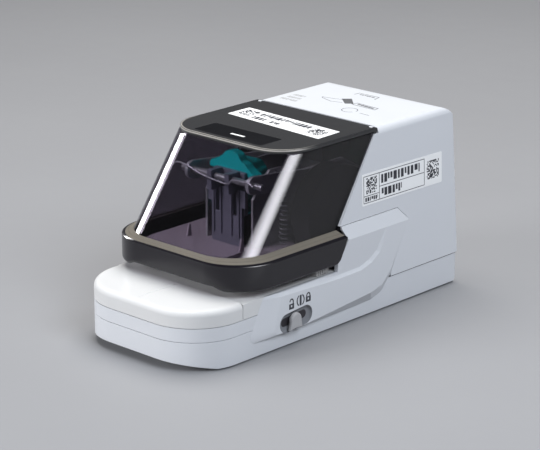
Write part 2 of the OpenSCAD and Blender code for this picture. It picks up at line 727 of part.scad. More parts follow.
module staple_stack() {             // staples side by side on their backing
    color("silver") difference() {
        block([-6.6, -42.2, 64.4], [6.6, 4.6, 69.2]);
        block([-5.8, -50, 60], [5.8, 10, 68.4]);
    }
}
module release_lever() {
    color([0, 0.5, 0.5]) {
        side(-21.6, 21.6) {
            translate([lever_axis_y, lever_axis_z]) circle(4);
            polygon([[-26, 113], [-36, 121], [-38, 127], [-34, 131], [-24, 131.6], [-18, 124], [-18.4, 116]]);
        }
        both() block([21.6, -37, 122], [25, -24, 129]);
        block([-9, -42, 124.5], [9, -36.5, 128.5]);
        rod_x(-24.6, 24.6, lever_axis_y, lever_axis_z, 2);
    }
}

// Gear train -----------------------------------------------------------

function inv(a) = tan(a) * 180 / PI - a;                 // involute function, degrees
// Half the angle that a tooth fills at a radius
function tooth_half(n, r) =
    let (rp = gear_m * n / 2, rb = rp * cos(press_a), a = acos(min(1, rb / max(r, rb))))
    (90 / n) - (backlash / 4 / rp) * 180 / PI + inv(press_a) - inv(a);
module gear2d(n, turn) {
    rp = gear_m * n / 2;
    ra = rp + 0.8 * gear_m;
    rr = rp - gear_m;
    rs = [for (i = [0:3]) max(rr, rp * cos(press_a)) + i * (ra - max(rr, rp * cos(press_a))) / 3];
    polygon([for (k = [0:n - 1]) each concat(
        [rr * [cos(turn + 360 * k / n - tooth_half(n, rs[0]) * 1.02),
               sin(turn + 360 * k / n - tooth_half(n, rs[0]) * 1.02)]],
        [for (r = rs) r * [cos(turn + 360 * k / n - tooth_half(n, r)), sin(turn + 360 * k / n - tooth_half(n, r))]],
        [for (i = [3:-1:0]) rs[i] * [cos(turn + 360 * k / n + tooth_half(n, rs[i])),
               sin(turn + 360 * k / n + tooth_half(n, rs[i]))]],
        [rr * [cos(turn + 360 * k / n + tooth_half(n, rs[0]) * 1.02),
               sin(turn + 360 * k / n + tooth_half(n, rs[0]) * 1.02)]])]);
}
module gear(n, turn, x, w, y, z) { side(x, x + w) translate([y, z]) gear2d(n, turn); }
module main_gear() {
    color("ivory") difference() {
        gear(main_n, mesh_a, main_x, main_w, cam_y, cam_z);
        rod_x(main_x - 1, main_x + main_w + 1, cam_y, cam_z, shaft_r);
        for (k = [0:5]) side(main_x - 1, main_x + main_w + 1) translate([cam_y, cam_z]) rotate(60 * k)
            translate([18, 0]) circle(6);
    }
}
module idler_gear() {
    color("ivory") difference() {
        union() {
            gear(idler_p, mesh_a + 180 + 180 / idler_p, main_x - 0.6, wheel_x - main_x + 0.6, idler_y, idler_z);
            gear(idler_n, mesh_b, wheel_x, wheel_w, idler_y, idler_z);
        }
        rod_x(30, 60, idler_y, idler_z, 2.5 + run_fit);
    }
}
module motor_pinion() {
    color("goldenrod") difference() {
        gear(motor_n, mesh_b + 180 + 180 / motor_n, wheel_x - 0.4, wheel_w + 0.8, motor_y, motor_z);
        rod_x(30, 60, motor_y, motor_z, 1.5);
    }
    color("silver") rod_x(31, wheel_x + wheel_w + 1, motor_y, motor_z, 1.5);
}
module cam_shaft() { color("silver") rod_x(-34, 45, cam_y, cam_z, shaft_r); }
module cams() {
    color("gray") both() difference() {
        rod_x(arm_x - 0.2, arm_x + arm_t + 0.2, cam_y, cam_z + cam_e, cam_r);
        rod_x(20, 40, cam_y, cam_z, shaft_r);
    }
}
module idler_shaft() { color("silver") rod_x(gear_plate_x, 52, idler_y, idler_z, 2.5); }
module motor() {
    color("silver") difference() {
        union() {
            rod_x(-22, gear_plate_x, motor_y, motor_z, 17.8);
            rod_x(-26, -22, motor_y, motor_z, 5);
        }
        rod_x(30, 40, motor_y, motor_z, 1.5 + run_fit);
        for (s = [-1, 1]) rod_x(28, 40, motor_y, motor_z + motor_hole * s, 1.5);
    }
}
module motor_screws() {
    color("silver") for (s = [-1, 1]) {
        rod_x(28.5, 36.5, motor_y, motor_z + motor_hole * s, 1.5);
        rod_x(36.5, 38.3, motor_y, motor_z + motor_hole * s, 2.8);
    }
}
module gear_plate() {
    color("silver") difference() {
        side(gear_plate_x, gear_plate_x + 2) polygon([[-12, 60], [-12, 100], [4, 116], [40, 116],
            [100, 84], [100, foot_h + plate_h], [62, foot_h + plate_h], [58, 26], [56, deck_z + 2], [0, deck_z + 2]]);
        rod_x(30, 60, cam_y, cam_z, shaft_r + run_fit);
        rod_x(30, 60, idler_y, idler_z, 2.5);
        rod_x(30, 60, motor_y, motor_z, 3);
        for (s = [-1, 1]) rod_x(30, 60, motor_y, motor_z + motor_hole * s, 1.5);
    }
}
module gear_outline(t) {
    translate([cam_y, cam_z]) circle(35 - t);
    slot2d([cam_y, cam_z], [idler_y, idler_z], 27.4 - t);
    slot2d([idler_y, idler_z], [motor_y, motor_z], 10 - t);
}
module gear_cover() {
    color([0.1, 0.1, 0.11]) difference() {
        side(gear_plate_x + 2, 53.6) gear_outline(0);
        side(gear_plate_x, 51.8) gear_outline(1.8);
        side(gear_plate_x, 60) translate([motor_y, motor_z + motor_hole]) circle(4.6);
        side(gear_plate_x, 60) translate([motor_y, motor_z - motor_hole]) circle(4.6);
        rod_x(40, 60, idler_y, idler_z, 2.5);
    }
}

// Electrics ------------------------------------------------------------

module power_supply() {
    color([0.2, 0.2, 0.22]) block([-49, 60, foot_h + plate_h], [-29, 100, 52]);
    color("goldenrod") block([-47, 66, 52], [-31, 94, 58]);
}
module circuit_board() {
    color("darkgreen") block([-50, 112, 54], [30, 113.6, 122]);
    color("black") {
        block([-40, 104, 96], [-22, 112, 110]);
        block([-10, 108, 60], [12, 112, 80]);
        for (i = [0:2]) rod_y(-36 + 12 * i, 98, 112, 66, 4.5);
        block([14, 107, 96], [26, 112, 114]);
        for (x = [-44, 24]) {           // standoffs
            rod_y(x, 113.6, 136.6, 60, 3);
            rod_y(x, 113.6, 129, 115, 3);
        }
    }
}

base_case();
base_band();
bottom_plate();
rubber_feet();
bottom_screws();
front_table();
throat_deck();
anvil_plate();
clincher_block();
clincher_left();
clincher_right();
clincher_pins();
side_panel_left();
side_panel_right();
upper_housing();
inner_frame();
power_inlet();
power_rocker();
top_label();
side_label();
lever_recess();
lock_lever();
cover_shell();
cover_bezel();
rim_trim();
top_panel();
window_inlay();
indicator_lens();
hinge_pins();
paper_stop();
sensor_lever();
head_floor();
front_plate();
head_plate_left();
head_plate_right();
head_spacers();
ram();
driver_blade();
cross_pin();
wire_bail();
drive_arm_left();
drive_arm_right();
arm_shaft();
return_springs();
cartridge_case();
cartridge_lid();
staple_stack();
release_lever();
cam_shaft();
cams();
main_gear();
idler_gear();
idler_shaft();
motor();
motor_pinion();
gear_plate();
gear_cover();
motor_screws();
power_supply();
circuit_board();
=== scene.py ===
# Electric desktop stapler: looks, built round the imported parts.
import json
import math
import random

import bmesh
import bpy
from mathutils import Matrix, Quaternion, Vector

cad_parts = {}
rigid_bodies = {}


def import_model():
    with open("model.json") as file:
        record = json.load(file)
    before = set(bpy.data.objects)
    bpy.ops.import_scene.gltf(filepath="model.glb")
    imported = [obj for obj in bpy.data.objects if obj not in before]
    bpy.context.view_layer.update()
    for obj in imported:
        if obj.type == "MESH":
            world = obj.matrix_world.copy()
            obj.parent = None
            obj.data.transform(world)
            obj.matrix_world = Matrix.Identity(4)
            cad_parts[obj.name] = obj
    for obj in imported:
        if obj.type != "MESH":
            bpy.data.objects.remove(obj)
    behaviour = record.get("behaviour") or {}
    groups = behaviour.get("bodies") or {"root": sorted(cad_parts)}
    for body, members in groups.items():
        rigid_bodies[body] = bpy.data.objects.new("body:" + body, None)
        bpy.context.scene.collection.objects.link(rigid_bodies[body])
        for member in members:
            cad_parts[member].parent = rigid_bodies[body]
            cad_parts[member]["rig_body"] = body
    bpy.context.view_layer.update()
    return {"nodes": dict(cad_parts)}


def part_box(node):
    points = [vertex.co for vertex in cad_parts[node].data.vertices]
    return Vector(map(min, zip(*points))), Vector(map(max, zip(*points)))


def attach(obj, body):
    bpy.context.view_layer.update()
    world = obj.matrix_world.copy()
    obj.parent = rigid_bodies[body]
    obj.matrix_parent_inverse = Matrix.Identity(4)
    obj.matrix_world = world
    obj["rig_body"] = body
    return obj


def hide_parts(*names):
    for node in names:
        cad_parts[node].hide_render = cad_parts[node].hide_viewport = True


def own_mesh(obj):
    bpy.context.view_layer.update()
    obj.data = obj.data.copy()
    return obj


mm = 0.001
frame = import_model()
nodes = frame["nodes"]
print("frame loaded:", len(nodes), "parts")


class Val:
    # one socket that takes part in sums
    def __init__(self, tree, socket):
        self.tree, self.socket = tree, socket

    def sum(self, kind, first, second):
        node = self.tree.nodes.new("ShaderNodeMath")
        node.operation = kind
        for place, value in enumerate((first, second)):
            if isinstance(value, Val):
                self.tree.links.new(value.socket, node.inputs[place])
            else:
                node.inputs[place].default_value = value
        return Val(self.tree, node.outputs[0])

    def __add__(self, other):
        return self.sum("ADD", self, other)

    def __sub__(self, other):
        return self.sum("SUBTRACT", self, other)

    def __rsub__(self, other):
        return self.sum("SUBTRACT", other, self)

    def __mul__(self, other):
        return self.sum("MULTIPLY", self, other)

    def __gt__(self, other):
        return self.sum("GREATER_THAN", self, other)

    def __pow__(self, other):
        return self.sum("POWER", self, other)

    __radd__, __rmul__ = __add__, __mul__


def addNode(tree, kind, settings=None, values=None):
    node = tree.nodes.new(kind)
    for key, value in (settings or {}).items():
        if key == "stops":
            ramp = node.color_ramp.elements
            for place, (at, shade) in enumerate(value):
                stop = ramp[place] if place < len(ramp) else ramp.new(at)
                stop.position, stop.color = at, (*shade, 1)
        else:
            setattr(node, key, value)
    for key, value in (values or {}).items():
        if isinstance(value, Val):
            tree.links.new(value.socket, node.inputs[key])
        elif isinstance(value, bpy.types.NodeSocket):
            tree.links.new(value, node.inputs[key])
        else:
            node.inputs[key].default_value = value
    return node


class Finish:
    # a material with one main shader, built up step by step
    def __init__(self, name, **plain):
        self.mat = bpy.data.materials.new(name)
        self.mat.use_nodes = True
        self.tree = self.mat.node_tree
        self.tree.nodes.clear()
        self.shader = addNode(self.tree, "ShaderNodeBsdfPrincipled")
        self.out = addNode(self.tree, "ShaderNodeOutputMaterial", None, {"Surface": self.shader.outputs[0]})
        self.place = self.add("TexCoord", "Object")
        for key, value in plain.items():
            self.shader.inputs[key.replace("_", " ")].default_value = value

    def add(self, kind, output=0, settings=None, **values):
        keys = {key.replace("_", " "): value for key, value in values.items()}
        node = addNode(self.tree, "ShaderNode" + kind, settings, keys)
        return Val(self.tree, node.outputs[output])

    def noise(self, scale, detail=2, stretch=None):
        place = self.place if stretch is None else self.add("Mapping", Vector=self.place, Scale=stretch)
        return self.add("TexNoise", "Fac", None, Vector=place, Scale=scale, Detail=detail)

    def mix(self, factor, first, second):
        node = addNode(self.tree, "ShaderNodeMix", {"data_type": "RGBA"})
        for place, value in ((0, factor), (6, first), (7, second)):
            if isinstance(value, Val):
                self.tree.links.new(value.socket, node.inputs[place])
            else:
                node.inputs[place].default_value = value if place == 0 else (*value, 1)
        return Val(self.tree, node.outputs[2])

    def give(self, socket, value):
        self.tree.links.new(value.socket, self.shader.inputs[socket])

    def bump(self, height, distance, strength=1.0):
        self.give("Normal", self.add("Bump", Height=height, Distance=distance, Strength=strength))

    def worn(self):
        return self.add("Attribute", "Fac", {"attribute_name": "worn"})


def shadeOf(colour, factor):
    return tuple(min(1.0, c * factor) for c in colour)


def moulded(name, colour, rough=0.42, tone=0.04, grain=0.03, size=900, wear=0.35, **plain):
    # moulded plastic: faint clouding, spark-eroded grain, handled gloss and paler edges
    f = Finish(name, **plain)
    cloud = f.noise(22, 3)
    body = f.mix(cloud, shadeOf(colour, 1 - tone), shadeOf(colour, 1 + tone))
    rub = f.worn() * (f.noise(240, 3) > 0.46) * wear
    f.give("Base Color", f.mix(rub, body, shadeOf(colour, 1.35)))
    smudge = f.noise(70, 4)
    f.give("Roughness", rough - 0.07 + smudge * 0.14)
    f.bump(f.noise(size, 2) + f.noise(size * 0.4, 1) * 0.6, grain * mm)
    return f.mat


def pressed(name, colour, rough=0.32, along=(1, 1, 40), wear=0.5, metal=0.75, **plain):
    # sheet or bar metal with a fine rolling direction
    f = Finish(name, Metallic=metal, **plain)
    streak = f.noise(160, 3, along)
    stain = f.noise(35, 4)
    body = f.mix(streak, shadeOf(colour, 0.86), shadeOf(colour, 1.1))
    body = f.mix(stain * 0.35, body, shadeOf(colour, 0.6))
    f.give("Base Color", f.mix(f.worn() * wear, body, shadeOf(colour, 1.5)))
    f.give("Roughness", rough + (streak - 0.5) * 0.18 + stain * 0.08)
    f.bump(streak, 0.01 * mm)
    return f.mat


def smoked(name, tint, film):
    # thin smoked sheet: tinted straight through, mirror-like at grazing angles
    f = Finish(name, Base_Color=(1, 1, 1, 1), Metallic=1.0, Roughness=0.04)
    f.give("Roughness", 0.035 + f.noise(60, 4) * 0.05)
    f.bump(f.noise(14, 2), 0.12 * mm, 0.35)
    through = f.add("BsdfTransparent", 0, None, Color=(*tint, 1))
    facing = f.add("LayerWeight", "Facing", None, Blend=0.5)
    mirror = film["front"] + facing ** film["power"] * film["edge"]
    both = addNode(f.tree, "ShaderNodeMixShader", None, {0: mirror, 1: through, 2: f.shader.outputs[0]})
    f.tree.links.new(both.outputs[0], f.out.inputs["Surface"])
    return f.mat


def beadHighlightFinish(name):
    # painted highlight: the edge bead is painted pale in front as a painted reflection of light on the edge,
    # and painted dark along the sides as painted shade
    f = Finish(name)
    away = f.add("MapRange", 0, {"interpolation_type": "SMOOTHSTEP"}, Value=f.add(
        "SeparateXYZ", 1, None, Vector=f.place), From_Min=-0.047, From_Max=-0.012)
    pale = f.mix(f.noise(120, 3), (0.33, 0.31, 0.28), (0.42, 0.4, 0.36))
    f.give("Base Color", f.mix(away, pale, (0.02, 0.02, 0.022)))
    f.give("Roughness", 0.24 + f.noise(90, 2) * 0.1)
    f.bump(f.noise(700, 1), 0.01 * mm)
    return f.mat


def gripRubber(name):
    f = Finish(name, Base_Color=(0.02, 0.02, 0.021, 1))
    dust = f.noise(90, 5)
    f.give("Base Color", f.mix(dust, (0.014, 0.014, 0.015), (0.05, 0.049, 0.047)))
    f.give("Roughness", 0.7 + dust * 0.2)
    f.bump(f.add("TexVoronoi", "Distance", None, Vector=f.place, Scale=900.0), 0.06 * mm)
    return f.mat


def boardGreen(name):
    # solder resist over copper tracks
    f = Finish(name, Coat_Weight=0.5)
    lines = f.add("TexBrick", "Fac", {"offset": 0.5}, Vector=f.add(
        "Mapping", Vector=f.place, Scale=(1, 1, 1), Rotation=(math.pi / 2, 0, 0)),
        Scale=90.0, Mortar_Size=0.03, Brick_Width=0.6, Row_Height=0.25)
    track = lines * (f.noise(40, 2) > 0.5)
    f.give("Base Color", f.mix(track, (0.012, 0.09, 0.035), (0.03, 0.2, 0.07)))
    f.give("Roughness", 0.3 + f.noise(80, 2) * 0.15)
    f.bump(track, 0.03 * mm)
    return f.mat


whiteCase = moulded("whiteCase", (0.63, 0.642, 0.67), 0.4, 0.012, 0.012, 1500, 0.25)
whiteTable = moulded("whiteTable", (0.64, 0.638, 0.635), 0.42, 0.012, 0.014, 1400, 0.2)
smokedClear = smoked("smokedClear", (0.46, 0.44, 0.48), {"front": 0.035, "edge": 0.75, "power": 4.0})
smokedSolid = moulded("smokedSolid", (0.008, 0.007, 0.01), 0.24, 0.15, 0.002, 500, 0.5,
                      Specular_IOR_Level=0.5)
# the ledge's taupe is partly the smoked plastic's own tint, partly a painted reflection of the light from
# above
ledgeTintAndSheen = moulded("ledgeTintAndSheen", (0.17, 0.152, 0.125), 0.32, 0.12, 0.01, 700, 0.5)
panelDark = moulded("panelDark", (0.034, 0.034, 0.035), 0.46, 0.06, 0.03, 1700, 0.3)
windowGloss = moulded("windowGloss", (0.004, 0.004, 0.005), 0.3, 0.2, 0.002, 400, 0.3,
                      Specular_IOR_Level=0.25)
lensWhite = moulded("lensWhite", (0.85, 0.85, 0.83), 0.3, 0.02, 0.005, 800, 0.1)
knobGrey = moulded("knobGrey", (0.4, 0.395, 0.4), 0.5, 0.06, 0.05, 1100, 0.4)
# the lever recess is the case's plastic painted dark grey as painted shade
recessShadeGrey = moulded("recessShadeGrey", (0.2, 0.205, 0.22), 0.5, 0.05, 0.03, 1100, 0.3)
blackPlastic = moulded("blackPlastic", (0.018, 0.018, 0.02), 0.5, 0.1, 0.04, 1200, 0.5)
frameBlack = moulded("frameBlack", (0.035, 0.032, 0.036), 0.6, 0.1, 0.04, 1200, 0.3)
floorMauve = moulded("floorMauve", (0.3, 0.26, 0.29), 0.45, 0.06, 0.03, 1000, 0.4)
stopGrey = moulded("stopGrey", (0.42, 0.41, 0.4), 0.45, 0.04, 0.02, 1100, 0.3)
teal = moulded("teal", (0.0, 0.4, 0.385), 0.38, 0.08, 0.02, 1200, 0.35)
gearIvory = moulded("gearIvory", (0.72, 0.67, 0.54), 0.4, 0.04, 0.01, 900, 0.3)
printInk = moulded("printInk", (0.035, 0.036, 0.045), 0.55, 0.25, 0.004, 2200, 0.0)
printFaint = moulded("printFaint", (0.4, 0.4, 0.4), 0.55, 0.1, 0.004, 2200, 0.0)
printGrey = moulded("printGrey", (0.12, 0.12, 0.125), 0.55, 0.15, 0.004, 2200, 0.0)
labelPaper = moulded("labelPaper", (0.86, 0.86, 0.86), 0.5, 0.015, 0.01, 2400, 0.0)
steelBright = pressed("steelBright", (0.58, 0.58, 0.59), 0.28)
steelAcross = pressed("steelAcross", (0.55, 0.55, 0.56), 0.26, (40, 1, 1))
steelDark = pressed("steelDark", (0.21, 0.21, 0.26), 0.42, (1, 1, 30), 0.8, 0.45)
zincPlated = pressed("zincPlated", (0.62, 0.63, 0.65), 0.36, (1, 30, 1))
brassTurned = pressed("brassTurned", (0.65, 0.45, 0.17), 0.3, (30, 1, 1))
springWire = pressed("springWire", (0.42, 0.42, 0.44), 0.3, (10, 10, 1), 0.5, 0.5)
feetRubber = gripRubber("feetRubber")
board = boardGreen("board")
# the bead's colour is a painted highlight in front and painted shade along the sides
panelEdgeHighlight = beadHighlightFinish("panelEdgeHighlight")
print("finishes made")


def show(piece):
    bpy.context.scene.collection.objects.link(piece)


def newPiece(name, verts, faces, mat, body, stands=(), flat=32):
    mesh = bpy.data.meshes.new(name)
    mesh.from_pydata([tuple(v) for v in verts], [], faces)
    mesh.materials.append(mat)
    piece = bpy.data.objects.new(name, mesh)
    show(piece)
    return finishPiece(piece, body, stands, flat)


def finishPiece(piece, body, stands=(), flat=32, turn=True):
    if turn:
        bm = bmesh.new()
        bm.from_mesh(piece.data)
        bmesh.ops.remove_doubles(bm, verts=bm.verts, dist=0.002 * mm)
        bmesh.ops.recalc_face_normals(bm, faces=bm.faces)
        bm.to_mesh(piece.data)
        bm.free()
    piece.data.shade_smooth()
    piece.data.set_sharp_from_angle(angle=math.radians(flat))
    weigh = piece.modifiers.new("weigh", "WEIGHTED_NORMAL")
    weigh.keep_sharp, weigh.weight = True, 80
    bake(piece)
    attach(piece, body)
    if stands:
        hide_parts(*stands)
    return piece


def bake(piece):
    # turn live modifiers into a plain mesh
    bpy.context.view_layer.update()
    graph = bpy.context.evaluated_depsgraph_get()
    made = bpy.data.meshes.new_from_object(piece.evaluated_get(graph))
    piece.modifiers.clear()
    piece.data = made


def edged(node, mat, edge=0.35, steps=2, angle=28):
    # a CAD part with its edges rounded: same size, softer corners
    bm = bmesh.new()
    bm.from_mesh(nodes[node].data)
    bmesh.ops.remove_doubles(bm, verts=bm.verts, dist=0.001 * mm)
    bmesh.ops.dissolve_limit(bm, angle_limit=math.radians(0.5), verts=bm.verts, edges=bm.edges)
    worn = bm.faces.layers.float.new("worn")
    sharp = [e for e in bm.edges if len(e.link_faces) == 2 and e.calc_face_angle(0) > math.radians(angle)]
    made = bmesh.ops.bevel(bm, geom=sharp, offset=edge * mm, offset_type="OFFSET", segments=steps,
                           profile=0.5, affect="EDGES", clamp_overlap=True)
    for face in made["faces"]:
        face[worn] = 1.0
    mesh = bpy.data.meshes.new(node + "Shape")
    bm.to_mesh(mesh)
    bm.free()
    mesh.materials.append(mat)
    piece = bpy.data.objects.new(camel(node), mesh)
    show(piece)
    body = nodes[node]["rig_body"]
    return finishPiece(piece, body, (node,), turn=False)


def camel(name):
    first, *rest = name.split("_")
    return first + "".join(word.capitalize() for word in rest) + "Piece"


def prismFaces(count):
    # walls and two caps between two equal rings of corners
    walls = [(i, (i + 1) % count, count + (i + 1) % count, count + i) for i in range(count)]
    return walls + [tuple(reversed(range(count))), tuple(range(count, 2 * count))]


def lerp(a, b, t):
    return a + (b - a) * t


def along(points, at):
    # value of a polyline of (key, value) at a key
    for (k0, v0), (k1, v1) in zip(points, points[1:]):
        if at <= k1:
            return lerp(v0, v1, max(0, (at - k0) / (k1 - k0)))
    return points[-1][1]


def planLine(half, front, radius, rear, steps=20, straight=5, left=None):
    # outline from above, as (x, y): right rear, round the front, left rear
    right = [(half, lerp(rear, front + radius, i / straight)) for i in range(straight)]
    for i in range(steps + 1):
        a = math.pi / 2 * i / steps
        right.append((half - radius + radius * math.cos(a), front + radius - radius * math.sin(a)))
    middle = [((half - radius) * (1 - 2 * i / 6), front) for i in range(1, 6)]
    extra = (left or half) - half
    return right + middle + [(-x - extra, y) for x, y in reversed(right)]


def sweep(rings):
    # closed profile carried along an open line: rings[j][i] are points
    count, size = len(rings), len(rings[0])
    verts = [p for ring in rings for p in ring]
    faces = []
    for j in range(count):
        k = (j + 1) % count
        for i in range(size - 1):
            faces.append((j * size + i, j * size + i + 1, k * size + i + 1, k * size + i))
    faces.append([j * size for j in range(count)])
    faces.append([j * size + size - 1 for j in reversed(range(count))])
    return verts, faces


def roundOff(points, radius, steps=3):
    # every corner of a closed outline rounded
    done = []
    for i, p in enumerate(points):
        p, a, b = Vector(p), Vector(points[i - 1]), Vector(points[(i + 1) % len(points)])
        reach = min(radius, (a - p).length * 0.45, (b - p).length * 0.45)
        start, end = p + (a - p).normalized() * reach, p + (b - p).normalized() * reach
        for k in range(steps + 1):
            t = k / steps
            done.append((start * (1 - t) ** 2 + p * 2 * t * (1 - t) + end * t * t))
    return done


cover = {"half": 59.8, "footHalf": 60.4, "front": -101.8, "topFront": -51.3, "radius": 28, "footRadius": 32,
         "foot": 74, "top": 142.5, "under": 139.4, "wall": 2.2, "split": 46.7, "slope": 0.64}


def splitLine(z):
    return cover["split"] + cover["slope"] * (z - 141.6)


def coverRing(z, inset):
    up = (z - cover["foot"]) / (cover["top"] - cover["foot"])
    front = lerp(cover["front"], cover["topFront"], (z - cover["foot"]) / 67.5)
    radius = lerp(cover["footRadius"], cover["radius"], up)
    line = planLine(lerp(cover["footHalf"], cover["half"], up) - inset, front + inset, radius - inset,
                    splitLine(z))
    return [Vector((x, y, z)) * mm for x, y in line]


def buildCover():
    wall, top, foot = cover["wall"], cover["under"], cover["foot"]
    # (how far in, height): up the outside, over the edge and down the inside
    profile = [(0, foot + 0.05), (0, foot + 20), (0, foot + 42), (0, top - 0.7), (0.25, top - 0.2),
               (0.7, top), (wall - 0.2, top), (wall, top - 0.3), (wall, foot + 42), (wall, foot + 20),
               (wall, foot + 0.05)]
    verts, faces = sweep([coverRing(z, inset) for inset, z in profile])
    newPiece("coverGlass", verts, faces, smokedClear, "cover", ("cover_shell",), 40)


bezel = {"half": 67.0, "left": 73.0, "front": -104.5, "radius": 36, "wall": 2.6, "low": 50.0, "high": 69.0,
         "arch": 3.0, "border": 0.26}


def ledgeRing(t, drop, rear):
    # t runs from the outer edge of the sloping ledge to the foot of the cover
    half, front = lerp(bezel["half"], cover["footHalf"], t), lerp(bezel["front"], cover["front"], t)
    line = planLine(half, front, lerp(bezel["radius"], cover["footRadius"], t), rear,
                    left=lerp(bezel["left"], cover["footHalf"], t))
    z = lerp(bezel["high"], cover["foot"], t) + drop
    return [Vector((x, y, z)) * mm for x, y in line]


def buildLedge():
    # dark border outside, satin ledge with a groove and a raised lip inside; the ledge's taupe colour is
    # partly the smoked plastic's own tint and partly a painted reflection of the light from above
    edge = bezel["border"]
    border = [(0.0, -0.55), (0.02, -0.15), (0.07, 0.05), (edge - 0.04, 0.05), (edge, -0.1), (edge, -1.1),
              (0.04, -1.1)]
    satin = [(edge + 0.01, -0.5), (edge + 0.02, -0.12), (edge + 0.06, 0), (0.46, 0), (0.5, -0.1),
             (0.53, -0.45), (0.6, -0.45), (0.63, -0.1), (0.67, 0), (0.8, 0.0), (0.84, 0.14), (0.88, 0.36),
             (0.96, 0.36), (1.0, 0.1), (1.0, -2.0), (0.5, -2.3), (edge + 0.01, -1.2)]
    rear = [(68, 9.3), (69, 9.2), (74, splitLine(74)), (76, splitLine(74))]
    for name, profile, mat, stands in (("ledgeBorder", border, smokedSolid, ()),
                                       ("coverLedge", satin, ledgeTintAndSheen, ("rim_trim",))):
        rings = []
        for t, drop in profile:
            z = lerp(bezel["high"], cover["foot"], t) + drop
            rings.append(ledgeRing(t, drop, along(rear, z)))
        verts, faces = sweep(rings)
        newPiece(name, verts, faces, mat, "cover", stands, 50)


def buildBezel():
    # glossy band with a rounded lower edge and a thin inner lip
    wall, low, high = bezel["wall"], bezel["low"], bezel["high"]
    rear = [(49, -4), (51.2, -1), (53, 1.6), (67, 9.3), (69, 9.2), (70, 9.2)]
    profile = [(0.45, high - 0.02), (0.12, high - 0.25), (0, high - 0.7), (0, lerp(low, high, 0.6)),
               (0, low + 3), (0.1, low + 1.6), (0.45, low + 0.75), (1.0, low + 0.25), (1.5, low), (2.2, low),
               (wall, low + 0.4), (wall, low + 2.0), (wall - 0.2, low + 2.6), (wall, low + 3.2),
               (wall, high - 0.02)]
    rings = []
    for inset, z in profile:
        line = planLine(bezel["half"] - inset, bezel["front"] + inset, bezel["radius"] - inset,
                        along(rear, z), left=bezel["left"] - inset)
        lift = max(0.0, 1 - (z - low) / 8) * bezel["arch"]
        ring = []
        for x, y in line:
            arch = max(0.0, min(1.0, (48 - abs(x)) / 10)) if y < -60 else 0.0
            ring.append(Vector((x, y, z + lift * arch * arch * (3 - 2 * arch))) * mm)
        rings.append(ring)
    verts, faces = sweep(rings)
    newPiece("coverBezel", verts, faces, smokedSolid, "cover", ("cover_bezel",), 50)


def buildPanelRim():
    # bead along the edge of the dark top panel; its finish paints a highlight in front and shade along the
    # sides
    profile = [(-0.04, 141.0), (-0.04, 142.0), (0.1, 142.35), (0.4, 142.56), (1.1, 142.58), (1.35, 142.45),
               (1.35, 141.0)]
    rings = []
    for inset, z in profile:
        line = planLine(cover["half"] - inset, cover["topFront"] + inset, cover["radius"] - inset, 44.6)
        rings.append([Vector((x, y, z)) * mm for x, y in line])
    verts, faces = sweep(rings)
    newPiece("panelRim", verts, faces, panelEdgeHighlight, "cover", (), 50)


buildCover()
buildLedge()
buildBezel()
buildPanelRim()
edged("top_panel", panelDark, 0.3)
edged("window_inlay", windowGloss, 0.15)
edged("indicator_lens", lensWhite, 0.25)
print("cover made")


panel = {"face": 67.0, "foot": 63.42, "back": 62.3,
         "slotStart": (-56, 19.8), "slotLength": 20, "slotRise": 4.6, "slotRadius": 7.2}


def wallX(z):
    return 64.3 - 3.8 * (z - 25.2) / 117.3


def arcPoints(cy, cz, radius, start, end, steps):
    return [(cy + radius * math.cos(math.radians(lerp(start, end, i / steps))),
             cz + radius * math.sin(math.radians(lerp(start, end, i / steps)))) for i in range(steps + 1)]


def slotPoints(radius, steps=12):
    y, z = panel["slotStart"]
    a = math.radians(panel["slotRise"])
    far = (y + panel["slotLength"] * math.cos(a), z + panel["slotLength"] * math.sin(a))
    rise = panel["slotRise"]
    front = arcPoints(y, z, radius, rise + 90, rise + 270, steps)
    return arcPoints(*far, radius, rise - 90, rise + 90, steps) + front


def field(z):
    # the sunk field meets the face again at its upper end
    return 65.1 + 1.9 * (z - 39.5) / 27


